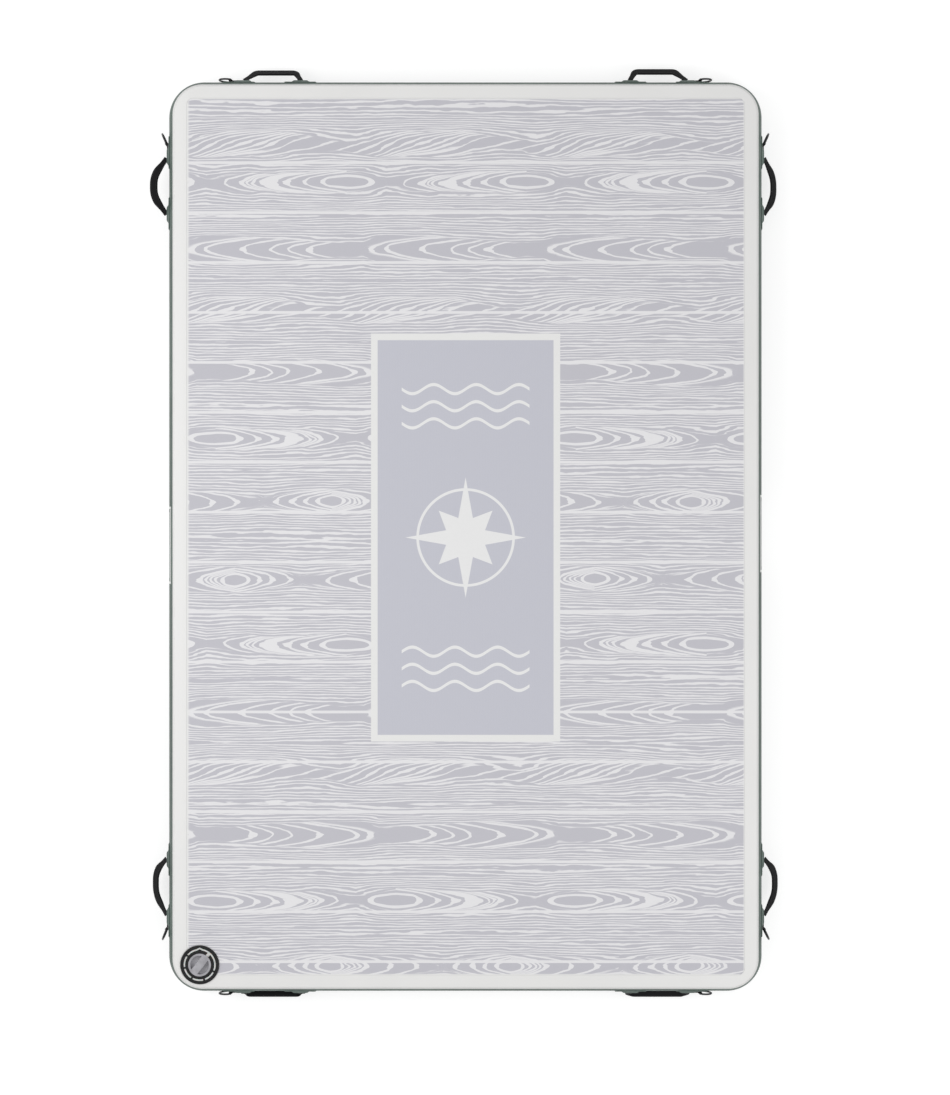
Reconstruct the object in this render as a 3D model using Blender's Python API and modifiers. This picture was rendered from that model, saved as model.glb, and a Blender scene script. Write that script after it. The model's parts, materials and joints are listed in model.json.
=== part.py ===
"""An inflatable dock platform, built as the separate pieces it is made of.

An air chamber of two flat skins, a bulged side wall and the yarns between them carries
a printed non-slip deck sheet. Eight stations along the wall hold a webbing grab handle
and a D-ring each, and one corner of the deck holds the inflation valve.

Frame: metres, +Z up, +Y towards the head end, +X to the right. The origin is the centre
of the underside, and the dock rests on Z = 0.
"""

import math

import bmesh
import bpy
from mathutils import Matrix, Vector

# Clearances and fineness
GAP = 0.0003
MERGE = 0.00005
OVERRUN = 0.004
CORNER_STEPS = 5
TURN_STEPS = 28

# Air chamber: sizes over the shoulders, where wall and deck meet
DECK_WIDTH = 1.528
DECK_LENGTH = 2.366
BODY_HEIGHT = 0.152
WALL_BULGE = 0.023
CORNER_RADIUS = 0.072
SKIN_THICKNESS = 0.0012
WALL_THICKNESS = 0.0012
UPPER_LIP = 0.012
LOWER_LIP = 0.042
WALL_ARC_STEP = math.radians(8.5)
WALL_ARC_SPANS = 3

# Seam tapes: the smooth white border, folded over the shoulder
TAPE_THICKNESS = 0.0012
TAPE_BORDER = 0.0305
TAPE_DROP = 0.010
SHOULDER_ROUND = 0.005
FOLD_ROUND = 0.0012
SHOULDER_CLEARANCE = 0.003

# Printed deck sheet
OVERLAY_THICKNESS = 0.0012
OVERLAY_CORNER = 0.018

# Drop-stitch cloth: two woven layers and the yarns that hold the skins level
CLOTH_THICKNESS = 0.0006
CLOTH_CLEARANCE = 0.002
YARN_RADIUS = 0.0022
YARN_SIDES = 3
YARN_COLUMNS = 6
YARN_ROWS = 9
YARN_MARGIN_X = 0.165
YARN_MARGIN_Y = 0.187

# Stations: distances along the wall, measured from the dock's outer corner
HANDLE_FROM_CORNER = 0.274
PATCH_LENGTH = 0.084
PATCH_HEIGHT = 0.076
PATCH_THICKNESS = 0.0020
PATCH_CORNER = 0.014
PATCH_CORNER_STEPS = 2
BOSS_LENGTH = 0.050
BOSS_HEIGHT = 0.038
BOSS_CORNER = 0.008
BOSS_OUT = 0.0070
BOSS_SUNK = 0.0014
BOSS_EDGE = 0.0014
NEAR_PATCH_SHIFT = 0.0125
NEAR_BOSS_SHIFT = 0.0030

# Webbing grab handle, folded double over its bar
FOOT_HALF_SPAN = 0.075
BAR_HALF_SPAN = 0.041
BAR_REACH = 0.0335
SHOULDER_BEND = 0.044
SHOULDER_BEND_STEPS = 4
GRIP_WIDTH = 0.020
GRIP_THICKNESS = 0.0055
FOOT_WIDTH = 0.014
FOOT_THICKNESS = 0.0030
FOOT_NOSE = 0.0014
WEBBING_EDGE = 0.0012

# D-ring and its webbing loop
RING_FROM_FOOT = 0.037
RING_WIRE = 0.005
RING_BAR = 0.045
RING_STRAIGHT = 0.007
RING_CORNER = 0.006
RING_ARC_STEPS = 7
RING_LOOP_WIDTH = 0.025
RING_LOOP_THICKNESS = 0.0014
RING_LOOP_LIFT = 0.0006
RING_LOOP_STEPS = 9
RING_LOOP_TAIL = 0.012

# How each handle hangs and each ring stands at rest, in degrees from straight out
# and from flat along the wall
STATIONS = (
    ("left_head", "left", 1, 0.0, 24.0),
    ("left_foot", "left", -1, 39.0, 22.0),
    ("right_head", "right", 1, 37.0, 24.0),
    ("right_foot", "right", -1, 40.0, 26.0),
    ("head_left", "head", -1, 45.0, 3.0),
    ("head_right", "head", 1, 39.0, 3.0),
    ("foot_left", "foot", -1, 79.0, 3.0),
    ("foot_right", "foot", 1, 79.0, 3.0),
)

# Inflation valve: its nut's distance from the side wall's lip, then widths outward and
# inward from its barrel, and heights over the top skin
NUT_SIDE_CLEARANCE = 0.0104
NUT_FOOT_CLEARANCE = 0.0029
VALVE_NOTCH_CLEARANCE = 0.0008
BARREL_RADIUS = 0.034
BARREL_WALL = 0.007
BARREL_LENGTH = 0.040
COLLAR_STEP = 0.0033
COLLAR_HEIGHT = 0.0045
GROOVE_WIDTH = 0.0054
GROOVE_FLOOR = 0.0012
RIM_WIDTH = 0.00815
RIM_HEIGHT = 0.0038
RIM_EDGE = 0.0015
CAP_LAP = 0.003
CAP_CLEARANCE = 0.0005
CAP_HEIGHT = 0.0060
CAP_EDGE = 0.0012
GASKET_LEDGE = 0.0035
GASKET_STEP = 0.010
SEAT_WIDTH = 0.0035
SEAT_HEIGHT = 0.004
GASKET_THICKNESS = 0.0010
NUT_WIDTH = 0.009
NUT_HEIGHT = 0.007
NUT_CHAMFER = 0.002
TAB_WIDTH = 0.005
TAB_THICKNESS = 0.0011
TAB_LAP = 0.0012
TAB_COUNT = 5
TAB_FIRST = math.radians(335.0)
TAB_PITCH = math.radians(48.0)

# Leash that keeps the cap with the valve
LEASH_THICKNESS = 0.0014
LEASH_WIDTH = 0.0042
LEASH_EYE_WIDTH = 0.0030
LEASH_STRAP_WIDTH = 0.009
LEASH_STRAP_THINNER = 0.0002
LEASH_ANGLE = math.radians(50.0)
LEASH_LUG_ANGLE = math.radians(90.0)
LEASH_LUG_LENGTH = 0.0033
LEASH_LUG_WIDTH = 0.010
LEASH_CLEARANCE = 0.0005

# Screw cap with two finger pockets beside a slanting grip bar
SKIRT_CLEARANCE = 0.0008
SKIRT_THICKNESS = 0.0035
SKIRT_LENGTH = 0.0085
CAP_WEB = 0.0048
POCKET_RIM = 0.0055
POCKET_FLOOR = 0.0020
GRIP_BAR_WIDTH = 0.0200
GRIP_BAR_ANGLE = math.radians(52.0)
CAP_GASKET_THICKNESS = 0.0012

# Poppet that the chamber's pressure and a spring hold shut
STEM_RADIUS = 0.0030
HUB_RADIUS = 0.0085
HUB_TOP = 0.027
HUB_HEIGHT = 0.005
SPIDER_ARMS = 3
SPIDER_ARM_WIDTH = 0.003
SPIDER_ARM_HEIGHT = 0.004
BUTTON_RADIUS = 0.008
BUTTON_HEIGHT = 0.0025
SPRING_PRESSED = 0.0065
CROSSBAR_LENGTH = 0.012
CROSSBAR_WIDTH = 0.0024
CROSSBAR_HEIGHT = 0.0015
LUG_REACH = 0.0048
LUG_WIDTH = 0.0022
LUG_HEIGHT = 0.0014
PLATE_OVERLAP = 0.0045
PLATE_THICKNESS = 0.0030
SEAL_THICKNESS = 0.0012
SEAL_OVERLAP = 0.0035
SPRING_WIRE = 0.0011
SPRING_RADIUS = 0.0063
SPRING_TURNS = 4
SPRING_POINTS = 9

# Worked out from the sizes above
HALF_X = DECK_WIDTH / 2
HALF_Y = DECK_LENGTH / 2
MID_HEIGHT = BODY_HEIGHT / 2
WALL_RADIUS = (MID_HEIGHT ** 2 + WALL_BULGE ** 2) / (2 * WALL_BULGE)
WALL_CENTRE = WALL_BULGE - WALL_RADIUS
SKIN_TOP = BODY_HEIGHT - OVERLAY_THICKNESS - GAP
SKIN_UNDER = SKIN_TOP - SKIN_THICKNESS
FLOOR_STACK = max(SKIN_THICKNESS, TAPE_THICKNESS) + GAP
PATCH_TOP = GAP + PATCH_THICKNESS
RING_OUT = PATCH_TOP + RING_LOOP_LIFT + RING_LOOP_THICKNESS + GAP + RING_WIRE / 2
HINGE_OUT = BOSS_OUT + GAP + FOOT_THICKNESS / 2
YARN_PITCH_X = (DECK_WIDTH - 2 * YARN_MARGIN_X) / (YARN_COLUMNS - 1)
YARN_PITCH_Y = (DECK_LENGTH - 2 * YARN_MARGIN_Y) / (YARN_ROWS - 1)
VALVE_BASE = GAP + GASKET_THICKNESS + GAP
COLLAR_RADIUS = BARREL_RADIUS + COLLAR_STEP
GROOVE_RADIUS = COLLAR_RADIUS + GROOVE_WIDTH
RIM_RADIUS = GROOVE_RADIUS + RIM_WIDTH
NUT_RADIUS = BARREL_RADIUS + NUT_WIDTH
VALVE_X = UPPER_LIP + NUT_RADIUS + NUT_SIDE_CLEARANCE - HALF_X
VALVE_Y = UPPER_LIP + NUT_RADIUS + NUT_FOOT_CLEARANCE - HALF_Y
LEASH_LUG_REACH = GROOVE_RADIUS + LEASH_LUG_LENGTH
BARREL_BORE = BARREL_RADIUS - BARREL_WALL
LOWER_BORE = BARREL_BORE - GASKET_LEDGE
SEAT_RADIUS = LOWER_BORE - SEAT_WIDTH
CAP_RADIUS = BARREL_BORE + CAP_LAP
POCKET_RADIUS = CAP_RADIUS - POCKET_RIM
PLATE_RADIUS = SEAT_RADIUS + PLATE_OVERLAP
POPPET_TRAVEL = HUB_HEIGHT + LUG_HEIGHT + 2 * GAP
SPRING_ROOM = POPPET_TRAVEL + SPRING_PRESSED


def collection(name):
    """A named collection in the scene."""
    group = bpy.data.collections.new(name)
    bpy.context.scene.collection.children.link(group)
    return group


def clear_scene():
    for thing in list(bpy.data.objects):
        bpy.data.objects.remove(thing, do_unlink=True)


clear_scene()
PARTS = collection("inflatable_dock")
CUTTERS = collection("cutters")


def material(name, colour, roughness, metallic=0.0):
    """A plain Principled material."""
    made = bpy.data.materials.new(name)
    made.use_nodes = True
    shader = made.node_tree.nodes["Principled BSDF"]
    shader.inputs["Base Color"].default_value = (*colour, 1.0)
    shader.inputs["Roughness"].default_value = roughness
    shader.inputs["Metallic"].default_value = metallic
    return made


WHITE_PVC = material("white_pvc", (0.80, 0.80, 0.79), 0.45)
PRINTED_PVC = material("printed_pvc", (0.56, 0.56, 0.58), 0.60)
GREEN_PVC = material("green_pvc", (0.13, 0.17, 0.15), 0.50)
YARN = material("polyester_yarn", (0.75, 0.75, 0.72), 0.80)
WEBBING = material("black_webbing", (0.012, 0.012, 0.014), 0.75)
RING_COAT = material("black_coated_steel", (0.015, 0.015, 0.016), 0.35, 0.4)
BLACK_NYLON = material("black_nylon", (0.02, 0.02, 0.022), 0.45)
GREY_NYLON = material("grey_nylon", (0.36, 0.36, 0.38), 0.50)
PALE_RUBBER = material("pale_rubber", (0.66, 0.67, 0.66), 0.55)
BLACK_RUBBER = material("black_rubber", (0.02, 0.02, 0.02), 0.80)
YELLOW_NYLON = material("yellow_nylon", (0.75, 0.55, 0.05), 0.45)
SPRING_STEEL = material("spring_steel", (0.60, 0.60, 0.60), 0.30, 1.0)


def place(thing, group, parent=None, matrix=None):
    """Link an object, under a parent where it has one, at its local placement."""
    group.objects.link(thing)
    if parent is not None:
        thing.parent = parent
    if matrix is not None:
        thing.matrix_local = matrix
    return thing


def part(name, data, coat, parent=None, matrix=None):
    """One named sub-part of the dock."""
    thing = bpy.data.objects.new(name, data)
    if not data.materials:
        data.materials.append(coat)
    return place(thing, PARTS, parent, matrix)


def empty(name, location, rotation=(0.0, 0.0, 0.0), parent=None):
    """An empty that stands on an axis or a station and carries its pieces."""
    thing = bpy.data.objects.new(name, None)
    thing.empty_display_size = RING_BAR
    place(thing, PARTS, parent)
    thing.location = location
    thing.rotation_euler = rotation
    return thing


def cutter(name, data, parent=None, matrix=None):
    """A hidden body that cuts or trims others."""
    thing = bpy.data.objects.new(name, data)
    thing.display_type = "WIRE"
    thing.hide_render = True
    return place(thing, CUTTERS, parent, matrix)


def make_cutter(thing):
    """Turn a finished body into one that only cuts or joins others."""
    thing.display_type = "WIRE"
    thing.hide_render = True
    PARTS.objects.unlink(thing)
    CUTTERS.objects.link(thing)


def boolean(target, other, operation):
    """Cut, join or trim a target with another body."""
    step = target.modifiers.new(operation.lower(), "BOOLEAN")
    step.operation = operation
    step.solver = "EXACT"
    step.object = other


def welded(thing):
    """An object's mesh with its modifiers applied, and its name, parent and placement."""
    bpy.context.view_layer.update()
    evaluated = thing.evaluated_get(bpy.context.evaluated_depsgraph_get())
    mesh = bpy.data.meshes.new_from_object(evaluated)
    mesh.materials.clear()
    shell = bmesh.new()
    shell.from_mesh(mesh)
    bmesh.ops.remove_doubles(shell, verts=shell.verts, dist=MERGE)
    bmesh.ops.recalc_face_normals(shell, faces=shell.faces)
    shell.to_mesh(mesh)
    shell.free()
    kept = (thing.name, mesh, thing.parent, thing.matrix_local.copy())
    bpy.data.objects.remove(thing, do_unlink=True)
    return kept


def settle(thing, coat):
    """Turn a piece into a plain mesh object of the same name."""
    name, mesh, parent, matrix = welded(thing)
    return part(name, mesh, coat, parent, matrix)


def settle_cutter(thing):
    """Turn a cutter drawn as a curve into a mesh, so that it can cut."""
    name, mesh, parent, matrix = welded(thing)
    return cutter(name, mesh, parent, matrix)


def arc(centre, radius, first, last, steps):
    """Points on an arc, both ends included."""
    turn = (last - first) / steps
    return [
        (centre[0] + radius * math.cos(first + turn * step),
         centre[1] + radius * math.sin(first + turn * step))
        for step in range(steps + 1)
    ]


def circle(centre, radius, steps):
    """A closed ring of points, without its first one repeated."""
    return arc(centre, radius, 0.0, math.tau, steps)[:-1]


def rounded_rectangle(half_x, half_y, radius, steps):
    """A rectangle with round corners, anticlockwise."""
    points = []
    quarter = math.pi / 2
    for turn, (side_x, side_y) in enumerate(((1, 1), (-1, 1), (-1, -1), (1, -1))):
        centre = (side_x * (half_x - radius), side_y * (half_y - radius))
        points += arc(centre, radius, turn * quarter, (turn + 1) * quarter, steps)
    return points


def flat_curve(name, outlines, thickness):
    """A filled 2D curve, as thick as asked, centred on its own plane."""
    data = bpy.data.curves.new(name, "CURVE")
    data.dimensions = "2D"
    data.fill_mode = "BOTH"
    data.extrude = thickness / 2
    for outline in outlines:
        spline = data.splines.new("POLY")
        spline.points.add(len(outline) - 1)
        for point, (x, y) in zip(spline.points, outline):
            point.co = (x, y, 0.0, 1.0)
        spline.use_cyclic_u = True
    return data


def flat_plate(name, outlines, thickness, coat, parent=None, matrix=None):
    """A flat piece cut from sheet, as a mesh that others can cut."""
    thing = part(name, flat_curve(name, outlines, thickness), coat, parent, matrix)
    return settle(thing, coat)


def turned(name, profile, coat, parent, steps=TURN_STEPS, closed=True):
    """A profile of (radius, height) points, turned round the parent's Z axis.

    The points run clockwise, so down the outer side. An open profile starts and ends
    on the axis.
    """
    mesh = bpy.data.meshes.new(name)
    count = len(profile)
    edges = [(index, index + 1) for index in range(count - 1)]
    if closed:
        edges.append((count - 1, 0))
    mesh.from_pydata([(radius, 0.0, height) for radius, height in profile], edges, [])
    thing = part(name, mesh, coat, parent)
    turn = thing.modifiers.new("turn", "SCREW")
    turn.steps = steps
    turn.render_steps = steps
    turn.use_merge_vertices = True
    turn.merge_threshold = MERGE
    turn.use_normal_calculate = False
    return thing


def box_data(name, size):
    """A box mesh about its own centre, its size already applied."""
    mesh = bpy.data.meshes.new(name)
    shell = bmesh.new()
    bmesh.ops.create_cube(shell, size=1.0, matrix=Matrix.Diagonal((*size, 1.0)))
    shell.to_mesh(mesh)
    shell.free()
    return mesh


def cylinder_data(name, radius, bottom, top, steps):
    """A cylinder mesh between two heights on its own Z axis."""
    mesh = bpy.data.meshes.new(name)
    shell = bmesh.new()
    middle = Matrix.Translation((0.0, 0.0, (top + bottom) / 2))
    bmesh.ops.create_cone(
        shell, cap_ends=True, segments=steps, radius1=radius, radius2=radius,
        depth=top - bottom, matrix=middle,
    )
    shell.to_mesh(mesh)
    shell.free()
    return mesh


def smooth(thing, angle=math.radians(40.0)):
    """Shade a round piece smooth, with its true edges left sharp."""
    thing.data.shade_smooth()
    thing.data.set_sharp_from_angle(angle=angle)


# The air chamber

def wall_point(radius, angle):
    """A point on the wall's bulge: outward from the shoulder line, and height."""
    return (WALL_CENTRE + radius * math.cos(angle), MID_HEIGHT + radius * math.sin(angle))


def wall_angle(radius, height):
    """Where on the bulge a height lies."""
    return math.asin((height - MID_HEIGHT) / radius)


def shoulder(radius, height, cut):
    """A rounded turn from the flat at a height onto the bulge below it."""
    corner = Vector(wall_point(radius, wall_angle(radius, height)))
    before = corner - Vector((cut, 0.0))
    after = Vector(wall_point(radius, wall_angle(radius, height) - cut / radius))
    middle = (before + after + 2 * corner) / 4
    return [tuple(before), tuple(middle), tuple(after)]


def lower_shoulder(radius, height, cut):
    """The same turn at the foot of the wall, from the bulge onto the flat."""
    upright = shoulder(radius, BODY_HEIGHT - height, cut)
    return [(out, BODY_HEIGHT - level) for out, level in upright[::-1]]


def wall_side(radius, high, low):
    """One face of the side wall, from its upper lip's edge down to its lower lip's."""
    steps = range(WALL_ARC_SPANS, -WALL_ARC_SPANS - 1, -1)
    points = [(-UPPER_LIP, high), wall_point(radius, wall_angle(radius, high))]
    points += [wall_point(radius, WALL_ARC_STEP * step) for step in steps]
    points += lower_shoulder(radius, low, FOLD_ROUND)
    points.append((-LOWER_LIP, low))
    return points


def side_wall_section():
    """The C of the side wall, with a lip under each skin."""
    high = SKIN_UNDER - GAP
    low = FLOOR_STACK
    outer = wall_side(WALL_RADIUS, high, low)
    high -= WALL_THICKNESS
    low += WALL_THICKNESS
    inner = wall_side(WALL_RADIUS - WALL_THICKNESS, high, low)
    return outer + inner[::-1]


def tape_section(border):
    """The upper tape: flat on the deck's border, then down over the shoulder."""
    top = SKIN_TOP + GAP + TAPE_THICKNESS
    bottom = SKIN_TOP + GAP
    outer_radius = WALL_RADIUS + GAP + TAPE_THICKNESS
    inner_radius = WALL_RADIUS + GAP
    end = wall_angle(inner_radius, bottom) - TAPE_DROP / WALL_RADIUS
    outer = [(-border, top)] + shoulder(outer_radius, top, SHOULDER_ROUND)
    outer.append(wall_point(outer_radius, end))
    inner = [(-border, bottom)]
    inner += shoulder(inner_radius, bottom, FOLD_ROUND)
    inner.append(wall_point(inner_radius, end))
    return outer + inner[::-1]


def lower_tape_section():
    """The lower tape: the upper one turned over, its flat on the ground."""
    lift = BODY_HEIGHT - (SKIN_TOP + GAP + TAPE_THICKNESS)
    upright = tape_section(TAPE_BORDER)
    return [(out, BODY_HEIGHT - height - lift) for out, height in upright]


def band(name, section, coat):
    """A closed section carried round the dock: a quarter of it, mirrored twice."""
    corner = Vector((HALF_X - CORNER_RADIUS, HALF_Y - CORNER_RADIUS, 0.0))
    shell = bmesh.new()
    points = [shell.verts.new((HALF_X + out, 0.0, height)) for out, height in section]
    count = len(points)
    rim = [shell.edges.new((points[i], points[(i + 1) % count])) for i in range(count)]
    side = bmesh.ops.extrude_edge_only(shell, edges=rim)["geom"]
    moved = [item for item in side if isinstance(item, bmesh.types.BMVert)]
    bmesh.ops.translate(shell, verts=moved, vec=(0.0, corner.y, 0.0))
    rim = [edge for edge in shell.edges if all(vert in moved for vert in edge.verts)]
    turned_end = bmesh.ops.spin(
        shell, geom=moved + rim, cent=corner, axis=(0.0, 0.0, 1.0),
        angle=math.pi / 2, steps=CORNER_STEPS,
    )["geom_last"]
    rim = [item for item in turned_end if isinstance(item, bmesh.types.BMEdge)]
    end = bmesh.ops.extrude_edge_only(shell, edges=rim)["geom"]
    moved = [item for item in end if isinstance(item, bmesh.types.BMVert)]
    bmesh.ops.translate(shell, verts=moved, vec=(-corner.x, 0.0, 0.0))
    bmesh.ops.recalc_face_normals(shell, faces=shell.faces)
    mesh = bpy.data.meshes.new(name)
    shell.to_mesh(mesh)
    shell.free()
    thing = part(name, mesh, coat)
    mirror = thing.modifiers.new("mirror", "MIRROR")
    mirror.use_axis = (True, True, False)
    mirror.merge_threshold = MERGE
    smooth(thing)
    return thing


def sheet(name, inset, corner, bottom, thickness, coat):
    """A flat sheet, set in from the shoulder line; its caller cuts any valve hole."""
    outline = rounded_rectangle(HALF_X - inset, HALF_Y - inset, corner, CORNER_STEPS)
    level = Matrix.Translation((0.0, 0.0, bottom + thickness / 2))
    return flat_plate(name, [outline], thickness, coat, matrix=level)


def build_chamber():
    """Skins, side wall, tapes, deck sheet and yarns."""
    valve_place = Matrix.Translation((VALVE_X, VALVE_Y, SKIN_TOP))
    notch_radius = RIM_RADIUS + VALVE_NOTCH_CLEARANCE
    notch = cutter(
        "valve_notch",
        cylinder_data("valve_notch", notch_radius, 0.0, OVERRUN, TURN_STEPS),
        matrix=valve_place,
    )
    hole = cutter(
        "valve_hole",
        cylinder_data("valve_hole", BARREL_RADIUS + GAP, -OVERRUN, OVERRUN, TURN_STEPS),
        matrix=valve_place,
    )
    clearance = NUT_RADIUS + CLOTH_CLEARANCE
    cloth_hole = cutter(
        "cloth_hole",
        cylinder_data("cloth_hole", clearance, -OVERRUN, OVERRUN, TURN_STEPS),
        matrix=valve_place,
    )
    skin_corner = CORNER_RADIUS - SHOULDER_CLEARANCE
    top = sheet(
        "top_skin", SHOULDER_CLEARANCE, skin_corner, SKIN_UNDER, SKIN_THICKNESS, WHITE_PVC
    )
    boolean(top, hole, "DIFFERENCE")
    butt = TAPE_BORDER + GAP
    sheet(
        "bottom_skin", butt, CORNER_RADIUS - butt, 0.0, SKIN_THICKNESS, WHITE_PVC
    )
    deck = sheet(
        "deck_sheet", butt, OVERLAY_CORNER, SKIN_TOP + GAP, OVERLAY_THICKNESS, PRINTED_PVC
    )
    boolean(deck, notch, "DIFFERENCE")
    opening = sheet(
        "deck_opening", TAPE_BORDER, OVERLAY_CORNER + GAP, SKIN_UNDER, OVERRUN, WHITE_PVC
    )
    make_cutter(opening)
    band("side_wall", side_wall_section(), GREEN_PVC)
    upper = band("upper_seam_tape", tape_section(TAPE_BORDER + OVERRUN), WHITE_PVC)
    boolean(upper, opening, "DIFFERENCE")
    boolean(upper, notch, "DIFFERENCE")
    band("lower_seam_tape", lower_tape_section(), WHITE_PVC)
    build_cloth(cloth_hole)


def build_cloth(hole):
    """The drop-stitch cloth, where one bundle stands for the yarns round it."""
    low = SKIN_THICKNESS + GAP
    high = SKIN_UNDER - GAP
    inset = LOWER_LIP + CLOTH_CLEARANCE
    cloth = sheet(
        "drop_stitch_cloth", inset, CORNER_RADIUS - inset, low, CLOTH_THICKNESS, YARN
    )
    inset = UPPER_LIP + CLOTH_CLEARANCE
    upper = sheet(
        "upper_cloth", inset, CORNER_RADIUS - inset, high - CLOTH_THICKNESS,
        CLOTH_THICKNESS, YARN,
    )
    make_cutter(upper)
    boolean(upper, hole, "DIFFERENCE")
    inside = CLOTH_THICKNESS / 2
    mesh = bpy.data.meshes.new("yarns")
    shell = bmesh.new()
    for column in range(YARN_COLUMNS):
        x = (column - (YARN_COLUMNS - 1) / 2) * YARN_PITCH_X
        for row in range(YARN_ROWS):
            y = (row - (YARN_ROWS - 1) / 2) * YARN_PITCH_Y
            bmesh.ops.create_cone(
                shell, cap_ends=True, segments=YARN_SIDES, radius1=YARN_RADIUS,
                radius2=YARN_RADIUS, depth=high - low - 2 * inside,
                matrix=Matrix.Translation((x, y, (high + low) / 2)),
            )
    shell.to_mesh(mesh)
    shell.free()
    boolean(cloth, cutter("yarns", mesh), "UNION")
    boolean(cloth, upper, "UNION")


# The stations along the wall
# In a station's own frame X runs along the wall, Y points outward from the bulge's
# outermost line and Z is up from the wall's mid-height. A hand of 1 puts the corner,
# and with it the D-ring, at +X.

WALL_TURN = {"left": math.pi / 2, "right": -math.pi / 2, "head": 0.0, "foot": math.pi}


def station_place(wall, end):
    """Where a station stands, how it is turned and which hand it is."""
    outer_x = HALF_X + WALL_BULGE
    outer_y = HALF_Y + WALL_BULGE
    if wall in ("left", "right"):
        side = 1 if wall == "right" else -1
        location = (side * outer_x, end * (outer_y - HANDLE_FROM_CORNER), MID_HEIGHT)
        hand = -side * end
    else:
        side = 1 if wall == "head" else -1
        location = (end * (outer_x - HANDLE_FROM_CORNER), side * outer_y, MID_HEIGHT)
        hand = side * end
    return location, (0.0, 0.0, WALL_TURN[wall]), hand


def patch_strip(length, parent, name):
    """A strip that follows the wall's facets, wider than the patch cut from it."""
    inner_radius = WALL_RADIUS + GAP
    outer_radius = inner_radius + PATCH_THICKNESS
    steps = range(-WALL_ARC_SPANS, WALL_ARC_SPANS + 1)
    flush = WALL_BULGE
    inner = [wall_point(inner_radius, WALL_ARC_STEP * step) for step in steps]
    outer = [wall_point(outer_radius, WALL_ARC_STEP * step) for step in steps]
    outline = [(out - flush, height - MID_HEIGHT) for out, height in outer + inner[::-1]]
    across = Matrix(((0, 0, 1, 0), (1, 0, 0, 0), (0, 1, 0, 0), (0, 0, 0, 1)))
    return flat_plate(name, [outline], length, GREEN_PVC, parent, across)


def boss_data(name):
    """The raised middle of a patch, its outer edge rounded over."""
    outline = rounded_rectangle(
        BOSS_LENGTH / 2, BOSS_HEIGHT / 2, BOSS_CORNER, PATCH_CORNER_STEPS
    )
    shell = bmesh.new()
    base = [shell.verts.new((x, BOSS_SUNK, z)) for x, z in outline]
    face = shell.faces.new(base)
    raised = bmesh.ops.extrude_face_region(shell, geom=[face])["geom"]
    moved = [item for item in raised if isinstance(item, bmesh.types.BMVert)]
    bmesh.ops.translate(shell, verts=moved, vec=(0.0, BOSS_OUT - BOSS_SUNK, 0.0))
    edge = [item for item in shell.edges if all(vert in moved for vert in item.verts)]
    bmesh.ops.bevel(
        shell, geom=edge, offset=BOSS_EDGE, offset_type="OFFSET", segments=1,
        profile=0.5, affect="EDGES",
    )
    bmesh.ops.recalc_face_normals(shell, faces=shell.faces)
    mesh = bpy.data.meshes.new(name)
    shell.to_mesh(mesh)
    shell.free()
    return mesh


def base_mesh(name, hand, ring_side):
    """One patch with its boss and, on the ring's side, the slot for the ring's loop."""
    strip = patch_strip(PATCH_LENGTH + 2 * OVERRUN, None, name)
    outline = rounded_rectangle(
        PATCH_LENGTH / 2, PATCH_HEIGHT / 2, PATCH_CORNER, PATCH_CORNER_STEPS
    )
    facing = Matrix.Rotation(math.pi / 2, 4, "X")
    shape = flat_curve(name + "_outline", [outline], PATCH_HEIGHT)
    trim = settle_cutter(cutter(name + "_outline", shape, None, facing))
    boolean(strip, trim, "INTERSECT")
    boss_x = hand * (NEAR_BOSS_SHIFT - NEAR_PATCH_SHIFT) if ring_side else 0.0
    boss_place = Matrix.Translation((boss_x, 0.0, 0.0))
    boss = cutter(name + "_boss", boss_data(name + "_boss"), None, boss_place)
    boolean(strip, boss, "UNION")
    if ring_side:
        slot = cutter(name + "_slot", *ring_slot(name, boss_x, hand))
        boolean(strip, slot, "DIFFERENCE")
    strip = settle(strip, GREEN_PVC)
    mesh = strip.data
    mesh.transform(strip.matrix_basis)
    bpy.data.objects.remove(strip, do_unlink=True)
    return mesh


def ring_slot(name, boss_x, hand):
    """The slot in a boss's end that takes the tail of the ring's webbing loop."""
    boss_end = boss_x + hand * BOSS_LENGTH / 2
    depth = RING_LOOP_TAIL + GAP + OVERRUN
    tail = 2 * RING_LOOP_THICKNESS
    size = (depth, tail + 2 * GAP, RING_LOOP_WIDTH + 2 * GAP)
    out = PATCH_TOP + RING_LOOP_LIFT + tail / 2
    middle = boss_end + hand * (OVERRUN - depth / 2)
    data = box_data(name + "_slot", size)
    return data, None, Matrix.Translation((middle, out, 0.0))


def handle_bend():
    """The shoulder bend in the handle's own plane: its points from leg to bar."""
    leg = Vector((BAR_HALF_SPAN - FOOT_HALF_SPAN, BAR_REACH)).normalized()
    turn = math.atan2(leg.y, -leg.x)
    tangent = SHOULDER_BEND * math.tan(turn / 2)
    corner = Vector((BAR_HALF_SPAN, BAR_REACH))
    centre = (corner.x - tangent, corner.y - SHOULDER_BEND)
    points = arc(centre, SHOULDER_BEND, math.pi / 2 - turn, math.pi / 2, SHOULDER_BEND_STEPS)
    return points, leg


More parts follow.
